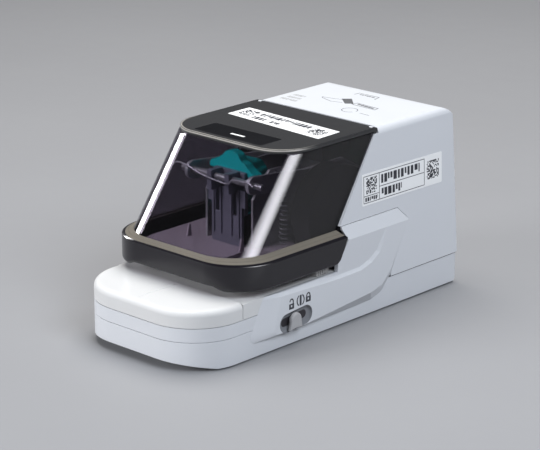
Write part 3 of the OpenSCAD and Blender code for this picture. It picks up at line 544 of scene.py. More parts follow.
def panelMesh():
    # (y, z, x) corners of the raised panel, right-hand side
    face, foot, back = panel["face"], panel["foot"], panel["back"]
    turn = arcPoints(-84.8, 16.8, 5, 160, 270, 5)
    ridge = [(-60.9, 41.6), (-42.1, 40.8), (-20.7, 39.9), (1.1, 39.3)]
    hook = [(25.5, 39.7), (36.8, 43.1), (45.7, 48.7), (47.9, 52)]
    low = [(-35, 14.0), (36, 19.4), (48.4, 22.4)]
    rearIn = [(59.4, 32.6), (68.4, 49.5), (78.6, 66.5)]
    rearOut = [(62, 28), (72.4, 47.6), (81, 67)]
    frontIn = [(-64.1, 30.8), (-68.3, 18.3), (-67.4, 15.6), (-64.5, 13.8)]
    verts, faces = [], []

    def put(y, z, x):
        verts.append((x, y, z))
        return len(verts) - 1

    top = [put(-75, 44, foot), put(-77.6, 42.2, foot)]
    side = [put(y, z, foot) for y, z in turn]
    bottom = [put(40, 12, foot), put(52, 15.5, foot)]
    rear = [put(y, z, wallX(z) + 0.15) for y, z in rearOut]
    shoulderTop = [put(69.5, 76.5, wallX(76.5) + 0.9), put(6.2, 76.5, wallX(76.5) + 0.9)]
    lowIn = [put(y, z, face) for y, z in low]
    rearFace = [put(y, z, face) for y, z in rearIn]
    frontFace = [put(y, z, face) for y, z in frontIn]
    ridgeFace = [put(y, z, face) for y, z in ridge]
    hookFace = [put(y, z, face) for y, z in hook]
    fade = put(52.5, 66.5, face)
    step = [(1.1, 41.5), (24.7, 41.9), (34.7, 45.1), (42.8, 50.6), (44.4, 53.2)]
    stepIn = [put(y, z, field(z)) for y, z in step]
    edge = [put(10.1, 66.5, face)]
    edge += [put(y, z, field(z)) for y, z in ((2.4, 53), (0.2, 51), (0, 44), (0, 41.5))]
    corner = put(0, 39.34, face)
    deckOut = [put(y, 44, 65.3) for y in (-60.9, -42.1, -20.7, 0)]
    deckIn = [put(y, 44, foot) for y in (-60.9, -42.1, -20.7, 0)]
    faces.append([*lowIn, *rearFace, fade, *reversed(hookFace), *reversed(ridgeFace), *frontFace])
    faces.append([edge[0], fade, hookFace[-1], *reversed(stepIn), *reversed(edge[1:])])
    lines = [ridgeFace[-1], *hookFace]
    for i in range(4):
        faces.append([lines[i], lines[i + 1], stepIn[i + 1], stepIn[i]])
    faces.append([corner, ridgeFace[-1], stepIn[0], edge[4]])
    faces.append([ridgeFace[2], ridgeFace[3], corner, edge[4], edge[3], deckOut[3], deckOut[2]])
    for i in range(2):
        faces.append([ridgeFace[i], ridgeFace[i + 1], deckOut[i + 1], deckOut[i]])
    for i in range(3):
        faces.append([deckOut[i], deckOut[i + 1], deckIn[i + 1], deckIn[i]])
    faces.append([top[1], ridgeFace[0], deckOut[0], top[0]])
    faces.append([top[0], deckOut[0], deckIn[0]])
    faces.append([top[1], side[0], frontFace[1], frontFace[0], ridgeFace[0]])
    faces.append([side[0], side[1], side[2], frontFace[2], frontFace[1]])
    faces.append([side[2], side[3], side[4], frontFace[3], frontFace[2]])
    faces.append([side[4], side[5], lowIn[0], frontFace[3]])
    faces.append([side[5], bottom[0], lowIn[1], lowIn[0]])
    faces.append([bottom[0], bottom[1], lowIn[2], lowIn[1]])
    faces.append([bottom[1], rear[0], rearFace[0], lowIn[2]])
    faces.append([rear[0], rear[1], rearFace[1], rearFace[0]])
    faces.append([rear[1], rear[2], rearFace[2], rearFace[1]])
    faces.append([rear[2], shoulderTop[0], rearFace[2]])
    faces.append([rearFace[2], shoulderTop[0], shoulderTop[1], edge[0], fade])
    lip = [put(6.2, 74.5, wallX(74.5) + 1.3), put(9.9, 69.5, 65.9)]
    faces.append([shoulderTop[1], lip[0], lip[1], edge[0]])
    loop = [top[1], *side, *bottom, *rear, *shoulderTop, *lip, *edge[:4], deckOut[3], *reversed(deckIn),
            top[0]]
    inner = [put(verts[i][1], verts[i][2], back) for i in loop]
    for i in range(len(loop)):
        j = (i + 1) % len(loop)
        faces.append([loop[i], loop[j], inner[j], inner[i]])
    faces.append(inner)
    return verts, faces


def buildPanel(sign, node):
    verts, faces = panelMesh()
    bm = bmesh.new()
    made = [bm.verts.new((sign * x * mm, y * mm, z * mm)) for x, y, z in verts]
    for face in faces:
        bm.faces.new([made[i] for i in face])
    bmesh.ops.remove_doubles(bm, verts=bm.verts, dist=0.01 * mm)
    bmesh.ops.triangulate(bm, faces=[f for f in bm.faces if len(f.verts) > 4])
    bmesh.ops.recalc_face_normals(bm, faces=bm.faces)
    mesh = bpy.data.meshes.new(node)
    bm.to_mesh(mesh)
    bm.free()
    piece = bpy.data.objects.new(camel(node), mesh)
    show(piece)
    if sign > 0:
        ring = slotPoints(panel["slotRadius"])
        ends = [Vector((x, y, z)) * mm for x in (60, 80) for y, z in ring]
        cutMesh = bpy.data.meshes.new("slotCutter")
        cutMesh.from_pydata(ends, [], prismFaces(len(ring)))
        cutter = bpy.data.objects.new("slotCutter", cutMesh)
        show(cutter)
        hole = piece.modifiers.new("hole", "BOOLEAN")
        hole.object, hole.operation, hole.solver = cutter, "DIFFERENCE", "EXACT"
        bake(piece)
        bpy.data.objects.remove(cutter)
    bm = bmesh.new()
    bm.from_mesh(piece.data)
    bmesh.ops.dissolve_limit(bm, angle_limit=math.radians(1.2), verts=bm.verts, edges=bm.edges)
    worn = bm.faces.layers.float.new("worn")
    sharp = [e for e in bm.edges if len(e.link_faces) == 2 and e.calc_face_angle(0) > math.radians(7)]
    soft = bmesh.ops.bevel(bm, geom=sharp, offset=0.45 * mm, offset_type="OFFSET", segments=3, profile=0.5,
                           affect="EDGES", clamp_overlap=True)
    for face in soft["faces"]:
        face[worn] = 0.6
    bm.to_mesh(piece.data)
    bm.free()
    piece.data.materials.clear()
    piece.data.materials.append(whiteCase)
    finishPiece(piece, "root", (node,), 34, turn=False)


buildPanel(1, "side_panel_right")
buildPanel(-1, "side_panel_left")
print("side panels made")


rounded = [   # finish, then the CAD parts in it with the rounding of their edges
    (whiteCase, {"base_case": 0.35, "base_band": 0.3}),
    (whiteTable, {"front_table": 0.35, "throat_deck": 0.4}),
    (frameBlack, {"inner_frame": 0.4}),
    (blackPlastic, {"power_inlet": 0.3, "power_rocker": 0.3, "sensor_lever": 0.2, "cartridge_case": 0.3,
        "gear_cover": 0.4, "power_supply": 0.4}),
    (zincPlated, {"bottom_plate": 0.2, "drive_arm_left": 0.25, "drive_arm_right": 0.25,
        "clincher_block": 0.3, "motor": 0.6, "gear_plate": 0.2}),
    (stopGrey, {"paper_stop": 0.2}),
    (steelDark, {"front_plate": 0.2, "ram": 0.3, "hinge_pins": 0.15, "cams": 0.2}),
    (steelBright, {"head_plate_left": 0.15, "head_plate_right": 0.15, "driver_blade": 0.08,
        "anvil_plate": 0.15, "clincher_left": 0.12, "clincher_right": 0.12, "clincher_pins": 0.15}),
    (steelAcross, {"head_spacers": 0.3, "cross_pin": 0.4, "arm_shaft": 0.4, "cam_shaft": 0.4,
        "idler_shaft": 0.3}),
    (teal, {"cartridge_lid": 0.4}),
    (board, {"circuit_board": 0.2})]
for mat, parts in rounded:
    for node, edge in parts.items():
        edged(node, mat, edge)
edged("upper_housing", whiteCase, 0.45, 3)
for name, mat in (("head_floor", floorMauve), ("main_gear", gearIvory), ("idler_gear", gearIvory),
                  ("motor_pinion", brassTurned)):   # these keep the CAD shape
    nodes[name].data.materials.clear()
    nodes[name].data.materials.append(mat)
print("case and mechanism made")


seam = {"low": 24.3, "high": 25.15, "proud": 0.07, "deep": 1.6, "start": 60.0, "half": 63.3, "rear": 144.0,
        "radius": 5.0}


def buildSeam():
    # dark shadow strip in the joint between base and housing
    rings, out, deep, low, high = [], -seam["proud"], seam["deep"], seam["low"], seam["high"]
    for depth, z in ((out, low), (out, high), (deep, high), (deep, low)):
        line = planLine(seam["half"] - depth, -seam["rear"] + depth, seam["radius"] - depth, -seam["start"])
        rings.append([Vector((x, -y, z)) * mm for x, y in line])
    verts, faces = sweep(rings)
    newPiece("seamStrip", verts, faces, frameBlack, "root")


buildSeam()


knob = {"y": -48.0, "topRadius": 5.4, "footHalf": 7.0, "height": 6.6, "start": 64.6, "end": 69.9}


def knobOutline(steps=14):
    # arch with concave flanks that flare into a wide foot
    points = arcPoints(0, 0.6, knob["topRadius"], 0, 180, steps)
    half, foot = knob["footHalf"], -knob["height"]
    flank = []
    for i in range(1, 8):
        t = i / 7
        flank.append((-lerp(knob["topRadius"], half, t ** 1.9), lerp(0.6, foot, t)))
    floor = [(lerp(-half, half, i / 8), foot + 1.1 * math.sin(math.pi * i / 8)) for i in range(1, 8)]
    return points + flank + floor + [(-y, z) for y, z in reversed(flank)]


def leverZ():
    y, z = panel["slotStart"]
    return z + (knob["y"] - y) * math.tan(math.radians(panel["slotRise"]))


def buildKnob():
    line = knobOutline()
    depth = knob["end"] - knob["start"]
    # a narrow stem inside the slot, the wide grip just clear of the panel's face
    layers = [(0, 0.5), (0.535, 0.5), (0.545, 0.93), (0.58, 1.0), (0.76, 1.0), (0.88, 0.965), (0.95, 0.9),
              (0.985, 0.8)]
    verts, faces = [], []
    count = len(line)
    for up, scale in layers:
        for y, z in line:
            swell = 0.5 * math.cos(y / 7 * 1.4)
            verts.append(Vector((knob["start"] + depth * up + (swell if up > 0.7 else 0) - 0.35,
                                 knob["y"] + y * scale, leverZ() + z * scale - (1 - scale) * 0.6)) * mm)
    for j in range(len(layers) - 1):
        for i in range(count):
            k = (i + 1) % count
            faces.append((j * count + i, j * count + k, (j + 1) * count + k, (j + 1) * count + i))
    faces += [tuple(reversed(range(count))), tuple(range((len(layers) - 1) * count, len(layers) * count))]
    newPiece("leverKnob", verts, faces, knobGrey, "lock_lever", ("lock_lever",), 60)


def buildCup():
    # dished recess round the lever, painted dark grey as painted shade in the recess, with a black strip as
    # a painted shadow in the slot in its floor
    rings = [(7.15, 66.85), (6.95, 66.6), (6.7, 65.9), (6.3, 65.1), (5.6, 64.6), (4.6, 64.35), (3.2, 64.3)]
    back = [(3.2, 63.45), (7.15, 63.45)]
    verts, faces = [], []
    for radius, x in rings + back:
        verts += [Vector((x, y, z)) * mm for y, z in slotPoints(radius)]
    count, total = len(slotPoints(1)), len(rings) + len(back)
    for j in range(total):
        for i in range(count):
            k, n = (i + 1) % count, (j + 1) % total
            faces.append((j * count + i, j * count + k, n * count + k, n * count + i))
    newPiece("leverCup", verts, faces, recessShadeGrey, "root", ("lever_recess",), 50)
    # black strip as a painted shadow inside the slot
    strip = [Vector((x, y, z)) * mm for x in (63.5, 64.28) for y, z in slotPoints(3.15)]
    newPiece("leverSlotShadow", strip, prismFaces(count), frameBlack, "root", (), 40)


buildKnob()
buildCup()
print("lock lever made")


class Grower:
    # a geometry tree with named inputs: a shape set on every point
    def __init__(self, name, **inputs):
        self.tree = bpy.data.node_groups.new(name, "GeometryNodeTree")
        for label, kind in {"Points": "Geometry", **inputs, "Material": "Material"}.items():
            self.tree.interface.new_socket(label, in_out="INPUT", socket_type="NodeSocket" + kind)
        self.tree.interface.new_socket("Geometry", in_out="OUTPUT", socket_type="NodeSocketGeometry")
        self.start, self.end = addNode(self.tree, "NodeGroupInput"), addNode(self.tree, "NodeGroupOutput")

    def get(self, label):
        return Val(self.tree, self.start.outputs[label])

    def geo(self, kind, settings=None, **values):
        keys = {key.replace("_", " "): value for key, value in values.items()}
        return Val(self.tree, addNode(self.tree, "GeometryNode" + kind, settings, keys).outputs[0])

    def xyz(self, x=0.0, y=0.0, z=0.0):
        node = addNode(self.tree, "ShaderNodeCombineXYZ", None, {"X": x, "Y": y, "Z": z})
        return Val(self.tree, node.outputs[0])

    def feed(self, parts, target, socket):
        # several parts into one socket
        for part in parts:
            self.tree.links.new(part.socket, target.socket.node.inputs[socket])
        return target

    def join(self, *parts):
        return self.feed(parts, self.geo("JoinGeometry"), "Geometry")

    def close(self, shape, points=None, **more):
        points = points or self.get("Points")
        spread = self.geo("InstanceOnPoints", None, Points=points, Instance=shape, **more)
        real = self.geo("RealizeInstances", None, Geometry=spread)
        paint = self.geo("SetMaterial", None, Geometry=real, Material=self.get("Material"))
        self.tree.links.new(paint.socket, self.end.inputs[0])
        return self.tree


def grow(name, tree, values, points=((0, 0, 0),)):
    # runs a tree on a set of points and gives back the plain mesh object
    mesh = bpy.data.meshes.new(name)
    mesh.from_pydata([tuple(p) for p in points], [], [])
    piece = bpy.data.objects.new(name, mesh)
    show(piece)
    run = piece.modifiers.new("grow", "NODES")
    run.node_group = tree
    for item in tree.interface.items_tree:
        if item.item_type == "SOCKET" and item.in_out == "INPUT" and item.name in values:
            run[item.identifier] = values[item.name]
    bake(piece)
    return piece


def screwTree():
    # a flat head with a cross recess on every point, facing down, and its shank
    g = Grower("screwHeads", Radius="Float", Depth="Float", Shank="Float", Length="Float")
    head = g.geo("MeshCylinder", None, Vertices=28, Radius=g.get("Radius"), Depth=g.get("Depth"))
    cross = []
    for turn in (0, math.pi / 2):
        bar = g.geo("MeshCube", None, Size=Vector((3.4, 0.75, 1.1)) * mm)
        cross.append(g.geo("Transform", None, Geometry=bar, Translation=(0, 0, -0.55 * mm),
                           Rotation=(0, 0, turn)))
    cut = g.geo("MeshBoolean", {"operation": "DIFFERENCE", "solver": "EXACT"}, Mesh_1=head)
    g.feed(cross, cut, "Mesh 2")
    shank = g.geo("MeshCylinder", None, Vertices=20, Radius=g.get("Shank"), Depth=g.get("Length"))
    shank = g.geo("Transform", None, Geometry=shank, Translation=g.xyz(z=g.get("Length") * 0.5))
    return g.close(g.join(cut, shank))


def footTree():
    # a rubber foot with a ring of pips on every point
    g = Grower("feet", Radius="Float", Height="Float", Ribs="Int")
    radius = g.get("Radius")
    disc = g.geo("MeshCylinder", None, Vertices=40, Radius=radius, Depth=g.get("Height"))
    ring = g.geo("MeshCircle", None, Vertices=g.get("Ribs"), Radius=radius * 0.72)
    pip = g.geo("MeshCylinder", None, Vertices=10, Radius=radius * 0.09, Depth=0.4 * mm)
    pips = g.geo("InstanceOnPoints", None, Points=ring, Instance=pip)
    drop = g.xyz(z=g.get("Height") * -0.5 + 0.05 * mm)
    return g.close(g.join(disc, g.geo("Transform", None, Geometry=pips, Translation=drop)))


def coilTree():
    # a wire coil standing on every point
    g = Grower("coils", Radius="Float", Height="Float", Turns="Float", Wire="Float")
    line = g.geo("CurveSpiral", None, Resolution=22, Rotations=g.get("Turns"), Start_Radius=g.get("Radius"),
                 End_Radius=g.get("Radius"), Height=g.get("Height"))
    ring = g.geo("CurvePrimitiveCircle", None, Resolution=10, Radius=g.get("Wire"))
    return g.close(g.geo("CurveToMesh", None, Curve=line, Profile_Curve=ring, Fill_Caps=True))


def stapleTree():
    # one bent staple on every point
    g = Grower("staples", Width="Float", Height="Float", Wire="Float")
    wire, half, height = g.get("Wire"), g.get("Width") * 0.5, g.get("Height")
    parts = [g.geo("MeshCube", None, Size=g.xyz(g.get("Width"), wire, wire * 1.4))]
    for side in (-1, 1):
        leg = g.geo("MeshCube", None, Size=g.xyz(wire * 1.4, wire, height))
        place = g.xyz((half - wire * 0.7) * side, 0.0, height * -0.5 + wire * 0.7)
        parts.append(g.geo("Transform", None, Geometry=leg, Translation=place))
    return g.close(g.join(*parts))


def blockTree():
    # plain pattern of square blocks, some left out at random
    g = Grower("blocks", Cell="Float", Count="Int", Filled="Float", Height="Float", Seed="Int")
    cell, count = g.get("Cell"), g.get("Count")
    span = cell * (count - 1)
    grid = g.geo("MeshGrid", None, Size_X=span, Size_Y=span, Vertices_X=count, Vertices_Y=count)
    keep = addNode(g.tree, "FunctionNodeRandomValue", {"data_type": "BOOLEAN"},
                   {"Probability": g.get("Filled"), "Seed": g.get("Seed")})
    block = g.geo("MeshCube", None, Size=g.xyz(cell, cell, g.get("Height")))
    return g.close(block, grid, Selection=keep.outputs[3])


blocks = blockTree()
base = {"screwX": 36, "screwY": (-80, 10, 104), "screwRadius": 2.9, "screwDepth": 0.9, "shank": 1.5,
        "screwLength": 8, "footX": 42, "footY": (-102, 118), "footRadius": 6.5, "footPips": 12, "skin": 1.5}


def cornerSpots(x, depths, z):
    return [Vector((side, y, z)) * mm for side in (-x, x) for y in depths]


def buildBottom():
    skin = base["skin"]
    heads = grow("bottomScrews", screwTree(), {
        "Radius": base["screwRadius"] * mm, "Depth": base["screwDepth"] * mm, "Shank": base["shank"] * mm,
        "Length": base["screwLength"] * mm, "Material": steelBright},
        cornerSpots(base["screwX"], base["screwY"], skin - base["screwDepth"] / 2))
    finishPiece(heads, "root", ("bottom_screws",), turn=False)
    pads = grow("rubberFeet", footTree(), {
        "Radius": base["footRadius"] * mm, "Height": (skin - 0.16) * mm, "Ribs": base["footPips"],
        "Material": feetRubber}, cornerSpots(base["footX"], base["footY"], skin / 2 + 0.08))
    finishPiece(pads, "root", ("rubber_feet",), turn=False)


spring = {"x": 30.5, "radius": 3.1, "wire": 0.48, "turns": 11.0, "gap": 0.5, "pressed": 0.76}


def buildSprings():
    low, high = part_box("return_springs")
    gap, x = spring["gap"] * mm, spring["x"] * mm
    spots = [Vector((side, (low.y + high.y) / 2, low.z + gap)) for side in (-x, x)]
    piece = grow("returnSprings", coilTree(), {
        "Radius": spring["radius"] * mm, "Height": high.z - low.z - 2 * gap, "Turns": spring["turns"],
        "Wire": spring["wire"] * mm, "Material": springWire}, spots)
    finishPiece(piece, "root", ("return_springs",), 60, turn=False)
    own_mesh(piece)


staple = {"width": 13.2, "height": 4.8, "wire": 0.48, "pitch": 0.52, "under": 0.35}


def buildStack():
    low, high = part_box("staple_stack")
    pitch = staple["pitch"] * mm
    spots = [Vector((0, low.y + (i + 0.5) * pitch, high.z - staple["under"] * mm))
             for i in range(int((high.y - low.y) / pitch))]
    piece = grow("stapleStack", stapleTree(), {
        "Width": staple["width"] * mm, "Height": staple["height"] * mm, "Wire": staple["wire"] * mm,
        "Material": steelBright}, spots)
    finishPiece(piece, "root", ("staple_stack",), turn=False)


buildBottom()
buildSprings()
buildStack()
edged("motor_screws", steelBright, 0.3)
print("repeats made")


release = {   # outline as shares of the lever's width and height; steps are (depth, width, crown)
    "outline": [(0, 0.3), (0.05, 0.52), (0.13, 0.5), (0.18, 0.64), (0.28, 0.68), (0.33, 0.9), (0.42, 1),
                (0.56, 0.99), (0.64, 0.86), (0.67, 0.68), (0.77, 0.64), (0.83, 0.48), (0.9, 0.36), (1, 0.28),
                (1, 0.06), (0.9, 0.1), (0.82, 0.2), (0.72, 0.32), (0.62, 0.22), (0.5, 0.3), (0.38, 0.22),
                (0.3, 0.32), (0.18, 0.3), (0.06, 0.2)],
    "steps": ((0, 0.94, 1.0), (0.3, 0.97, 1.0), (0.4, 0.8, 0.6), (1, 0.5, 0.5)), "corner": 2.0, "rim": 1.1}


def buildReleaseLever():
    # hump in the middle to press on, an arm to either side
    low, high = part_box("release_lever")
    corner, rimRound = release["corner"] * mm, release["rim"] * mm
    line = [(lerp(low.x, high.x, u), 0, lerp(low.z, high.z, v)) for u, v in release["outline"]]
    ring = roundOff(line, corner, 3)
    bm = bmesh.new()
    middle, count, steps = (low.x + high.x) / 2, len(ring), release["steps"]
    for deep, narrow, crown in steps:
        top, y = lerp(low.z, high.z, crown), lerp(low.y, high.y, deep)
        for p in ring:
            cap = top - (high.z - p.z) * 0.04 * (1 - crown)
            bm.verts.new((middle + (p.x - middle) * narrow, y, min(p.z, cap)))
    bm.verts.ensure_lookup_table()
    bm.faces.new(bm.verts[:count])
    bm.faces.new(bm.verts[-count:])
    for j in range(len(steps) - 1):
        for i in range(count):
            k = (i + 1) % count
            bm.faces.new([bm.verts[j * count + n] for n in (i, k, count + k, count + i)])
    rim = [e for e in bm.edges if abs(e.verts[0].co.y - e.verts[1].co.y) < 1e-6]
    bmesh.ops.bevel(bm, geom=rim, offset=rimRound, offset_type="OFFSET", segments=4, profile=0.5,
                    affect="EDGES", clamp_overlap=True)
    mesh = bpy.data.meshes.new("releaseLever")
    bm.to_mesh(mesh)
    bm.free()
    mesh.materials.append(teal)
    piece = bpy.data.objects.new("releaseLeverPiece", mesh)
    show(piece)
    finishPiece(piece, "release_lever", ("release_lever",), 40)


bail = {"y": -60.2, "radius": 0.72,
        "path": [(-42, 117), (-41, 118.6), (-37, 120), (-30, 119.5), (-24, 118.5), (-18, 116.6),
                 (-12, 115.4), (-4, 114.2), (4, 113.6), (12, 113.3), (15, 114.5), (17, 116.6),
                 (22, 117.6), (30, 118), (36, 117.4), (38, 116.2)]}


def buildWire():
    # round wire bent over the ram's two ears
    path = bail["path"]
    curve = bpy.data.curves.new("bailCurve", "CURVE")
    curve.dimensions, curve.use_fill_caps = "3D", True
    curve.bevel_depth, curve.bevel_resolution = bail["radius"] * mm, 3
    line = curve.splines.new("BEZIER")
    line.bezier_points.add(len(path) - 1)
    for point, (x, z) in zip(line.bezier_points, path):
        point.co = Vector((x, bail["y"], z)) * mm
        point.handle_left_type = point.handle_right_type = "AUTO"
    holder = bpy.data.objects.new("bailCurve", curve)
    show(holder)
    bpy.context.view_layer.update()
    mesh = bpy.data.meshes.new_from_object(holder.evaluated_get(bpy.context.evaluated_depsgraph_get()))
    bpy.data.objects.remove(holder)
    mesh.materials.clear()
    mesh.materials.append(springWire)
    wire = bpy.data.objects.new("wireBail", mesh)
    show(wire)
    finishPiece(wire, "ram", ("wire_bail",), 60)


buildReleaseLever()
buildWire()


label = {"thick": 0.14, "ink": 0.03, "filled": 0.55}


def sheetPiece(name, outline, place, thick, mat, body, stands=()):
    # thin sheet with rounded corners laid on a surface
    ring = roundOff([(u, v, 0) for u, v in outline], 1.2, 4)
    verts = [place(p.x, p.y, h) for h in (0, thick) for p in ring]
    return newPiece(name, verts, prismFaces(len(ring)), mat, body, stands)


def printPiece(name, shapes, place, low, mat, body):
    # ink: every shape is a quad of (u, v) with a little thickness
    verts, faces = [], []
    for quad in shapes:
        start = len(verts)
        verts += [place(u, v, low + h) for h in (0, label["ink"]) for u, v in quad]
        faces += [tuple(start + i for i in f) for f in (
            (0, 1, 2, 3), (4, 7, 6, 5), (0, 4, 5, 1), (1, 5, 6, 2), (2, 6, 7, 3), (3, 7, 4, 0))]
    return newPiece(name, verts, faces, mat, body)


def bar(u0, v0, u1, v1):
    return [(u0, v0), (u1, v0), (u1, v1), (u0, v1)]


def stroke(points, width):
    # quads along a bent line
    quads = []
    for (u0, v0), (u1, v1) in zip(points, points[1:]):
        d = Vector((u1 - u0, v1 - v0)).normalized() * width / 2
        e = d * 0.5
        quads.append([(u0 - e.x + d.y, v0 - e.y - d.x), (u1 + e.x + d.y, v1 + e.y - d.x),
                      (u1 + e.x - d.y, v1 + e.y + d.x), (u0 - e.x - d.y, v0 - e.y + d.x)])
    return quads


def ringLine(cu, cv, ru, rv, start, end, steps):
    return [(cu + ru * math.cos(math.radians(lerp(start, end, i / steps))),
             cv + rv * math.sin(math.radians(lerp(start, end, i / steps)))) for i in range(steps + 1)]


def barRow(u0, u1, v0, v1, pitch, seed):
    # plain bars in place of a line of writing
    pick = random.Random(seed)
    shapes, at = [], u0
    while at < u1:
        wide = pitch * pick.uniform(0.35, 0.85)
        low = v0 if pick.random() < 0.75 else lerp(v0, v1, 0.3)
        shapes.append(bar(at, low, min(at + wide, u1), v1))
        at += wide + pitch * pick.uniform(0.18, 0.3)
    return shapes


def blockPatch(name, cell, count, seed, matrix, body):
    patch = grow(name, blocks, {"Cell": cell * mm, "Count": count, "Filled": label["filled"],
                                "Height": label["ink"] * mm, "Seed": seed, "Material": printInk})
    patch.data.transform(matrix)
    finishPiece(patch, body, turn=False)


def onWall(u, v, h):
    # side label: u to the rear from its front edge, v up from its lower edge
    y, z = 30.2 + u, 86.2 + v - u * 0.009
    return Vector((wallX(z) + h, y, z)) * mm


def onTop(u, v, h):
    # top label: u to the right, v to the rear
    s, t = u / 96.5, v / 24
    x = lerp(lerp(-47, 50, s), lerp(-47, 49, s), t)
    y = lerp(lerp(2, -5, s), lerp(25.5, 20, s), t)
    return Vector((x, y, 142.5 + h)) * mm


def onPanel(u, v, h):
    return Vector((67.0 + h, u, v)) * mm


def onHousing(u, v, h):
    return Vector((u, v, 142.5 + h)) * mm


def patchMatrix(place, u, v, lift):
    origin, right, up = place(u, v, lift), place(u + 1, v, lift), place(u, v + 1, lift)
    a = (right - origin).normalized()
    n = a.cross(up - origin).normalized()
    b = n.cross(a)
    turn = Matrix((a, b, n)).transposed().to_4x4()
    return Matrix.Translation(origin) @ turn


def buildSideLabel():
    over = label["thick"]
    sheetPiece("sideLabelSheet", [(0, 0), (92.4, 0), (92.4, 24), (0, 24)], onWall, over, labelPaper, "root",
               ("side_label",))
    lines = []
    for a, b in (((1.8, 1.8), (71.5, 1.8)), ((71.5, 1.8), (71.5, 22)), ((71.5, 22), (1.8, 22)),
                 ((1.8, 22), (1.8, 1.8)), ((19.3, 1.8), (19.3, 22)), ((19.3, 11.6), (71.5, 11.6)),
                 ((1.8, 7), (19.3, 7))):
        lines += stroke([a, b], 0.5)
    lines += barRow(21.5, 66, 13.6, 20.2, 5.0, 3)
    lines += barRow(22.0, 45, 3.6, 9.6, 4.6, 8)
    lines += barRow(3.4, 17.5, 2.9, 5.9, 2.6, 5)
    printPiece("sideLabelInk", lines, onWall, over, printInk, "root")
    blockPatch("sideLabelBlocksA", 0.92, 13, 4, patchMatrix(onWall, 10.6, 14.5, over + 0.015), "root")
    blockPatch("sideLabelBlocksB", 0.95, 15, 9, patchMatrix(onWall, 81.6, 12.2, over + 0.015), "root")


def buildTopLabel():
    over = label["thick"]
    sheetPiece("topLabelSheet", [(0, 0), (96.5, 0), (96.5, 24), (0, 24)], onTop, over - 0.02, labelPaper,
               "cover", ("top_label",))
    lines = barRow(21, 74, 13.4, 19.6, 4.6, 12) + barRow(21, 34, 4.4, 9.6, 4.2, 14)
    lines += barRow(40, 50, 4.4, 9.0, 3.4, 15)
    printPiece("topLabelInk", lines, onTop, over - 0.03, printInk, "cover")
    blockPatch("topLabelBlocksA", 0.95, 14, 21, patchMatrix(onTop, 11.0, 13.0, over - 0.015), "cover")
    blockPatch("topLabelBlocksB", 0.95, 15, 22, patchMatrix(onTop, 84.5, 12.0, over - 0.015), "cover")


def padlock(u, v, opened):
    # body, keyhole bar and shackle of a small padlock
    shapes = [bar(u, v, u + 5.2, v + 1.5), bar(u, v + 1.5, u + 1.9, v + 3.1),
              bar(u + 3.3, v + 1.5, u + 5.2, v + 3.1), bar(u, v + 3.1, u + 5.2, v + 4.1)]
    rise = 1.1 if opened else 0.2
    shapes += stroke([(u + 0.9, v + 4.1), (u + 0.9, v + 4.1 + rise)], 1.0) if not opened else []
    shapes += stroke(ringLine(u + 2.6, v + 4.2 + rise, 1.8, 2.3, 0, 165 if opened else 180, 8), 1.0)
    shapes += stroke([(u + 4.3, v + 4.1), (u + 4.3, v + 4.3 + rise)], 1.0)
    return shapes


def buildMarks():
    # printed marks above the lever: open lock, depth, closed lock
    marks = padlock(-53.6, 29.4, True) + padlock(-35.9, 30.6, False)
    marks += stroke(ringLine(-41.2, 33.8, 4.0, 4.3, 125, 235, 8), 1.0)
    marks += stroke(ringLine(-41.8, 33.8, 4.0, 4.3, -55, 55, 8), 1.0)
    marks += [bar(-42.5, 29.8, -40.5, 37.8)]
    printPiece("leverMarks", marks, onPanel, 0.0, printInk, "root")


def buildTopPrint():
    # outline drawing of how sheets and lever go, without words
    lines = stroke([(-15.3, 110.2), (-15.3, 115.6), (4.7, 115.8), (6.4, 108.4)], 0.7)
    lines += barRow(-12, 3, 111.8, 113.6, 3.0, 31)
    lines += [[(-13.7, 93.2), (-2.3, 83.6), (2.8, 88), (-8, 98.4)]]
    lines += stroke([(-28.7, 88.6), (-27.4, 86), (-15, 81.8), (-6, 84.6)], 0.6)
    lines += stroke([(-27, 88), (-18, 89.6), (-12, 92)], 0.6)
    lines += stroke([(2, 87), (4, 91.4), (25.9, 89.6), (26.4, 84.6), (5, 85.8), (2, 87)], 0.8)
    lines += stroke([(7, 88.8), (23, 87.2)], 2.0)
    lines += stroke(ringLine(13, 71.8, 6.2, 6.0, 0, 330, 22), 0.6)
    lines += stroke([(24.4, 70.2), (34, 69.4)], 0.6)
    printPiece("topPrint", lines, onHousing, 0.0, printGrey, "root")
    faint = barRow(-50, -34, 62, 66, 3.0, 41) + barRow(-49, -36, 69, 73, 2.6, 42)
    faint += barRow(-49, -38, 76, 80, 3.2, 43)
    printPiece("topPrintFaint", faint, onHousing, 0.0, printFaint, "root")


buildSideLabel()
buildTopLabel()
buildMarks()
buildTopPrint()
print("labels made")


def softbox(name, place, wide, high, power, tint=(1, 1, 1), only=None, fade=0.0, tilt=0.0):
    # only: the group of pieces a lamp works on; fade: soft sides in reflections
    lamp = bpy.data.lights.new(name, "AREA")
    lamp.shape, lamp.size, lamp.size_y, lamp.energy, lamp.color = "RECTANGLE", wide, high, power, tint
    if fade:
        lamp.use_nodes = True
        tree = lamp.node_tree
        spot = addNode(tree, "ShaderNodeNewGeometry").outputs["Parametric"]
        side = Val(tree, addNode(tree, "ShaderNodeSeparateXYZ", None, {0: spot}).outputs[0])
        bell = (side * (1 - side) * 4) ** fade
        tree.links.new(bell.socket, tree.nodes["Emission"].inputs["Strength"])
    holder = bpy.data.objects.new(name, lamp)
    holder.location = place
    holder.rotation_mode = "QUATERNION"
    aimed = (Vector(studio["aim"]) - Vector(place)).to_track_quat("-Z", "Y")
    holder.rotation_quaternion = aimed @ Quaternion((0, 0, 1), math.radians(tilt))
    holder.visible_glossy, holder.visible_diffuse = only is not None, only != "shiny"
    if only:
        holder.light_linking.receiver_collection = groupOf(only)
    if only == "inside":
        holder.light_linking.blocker_collection = groupOf(only)
    show(holder)


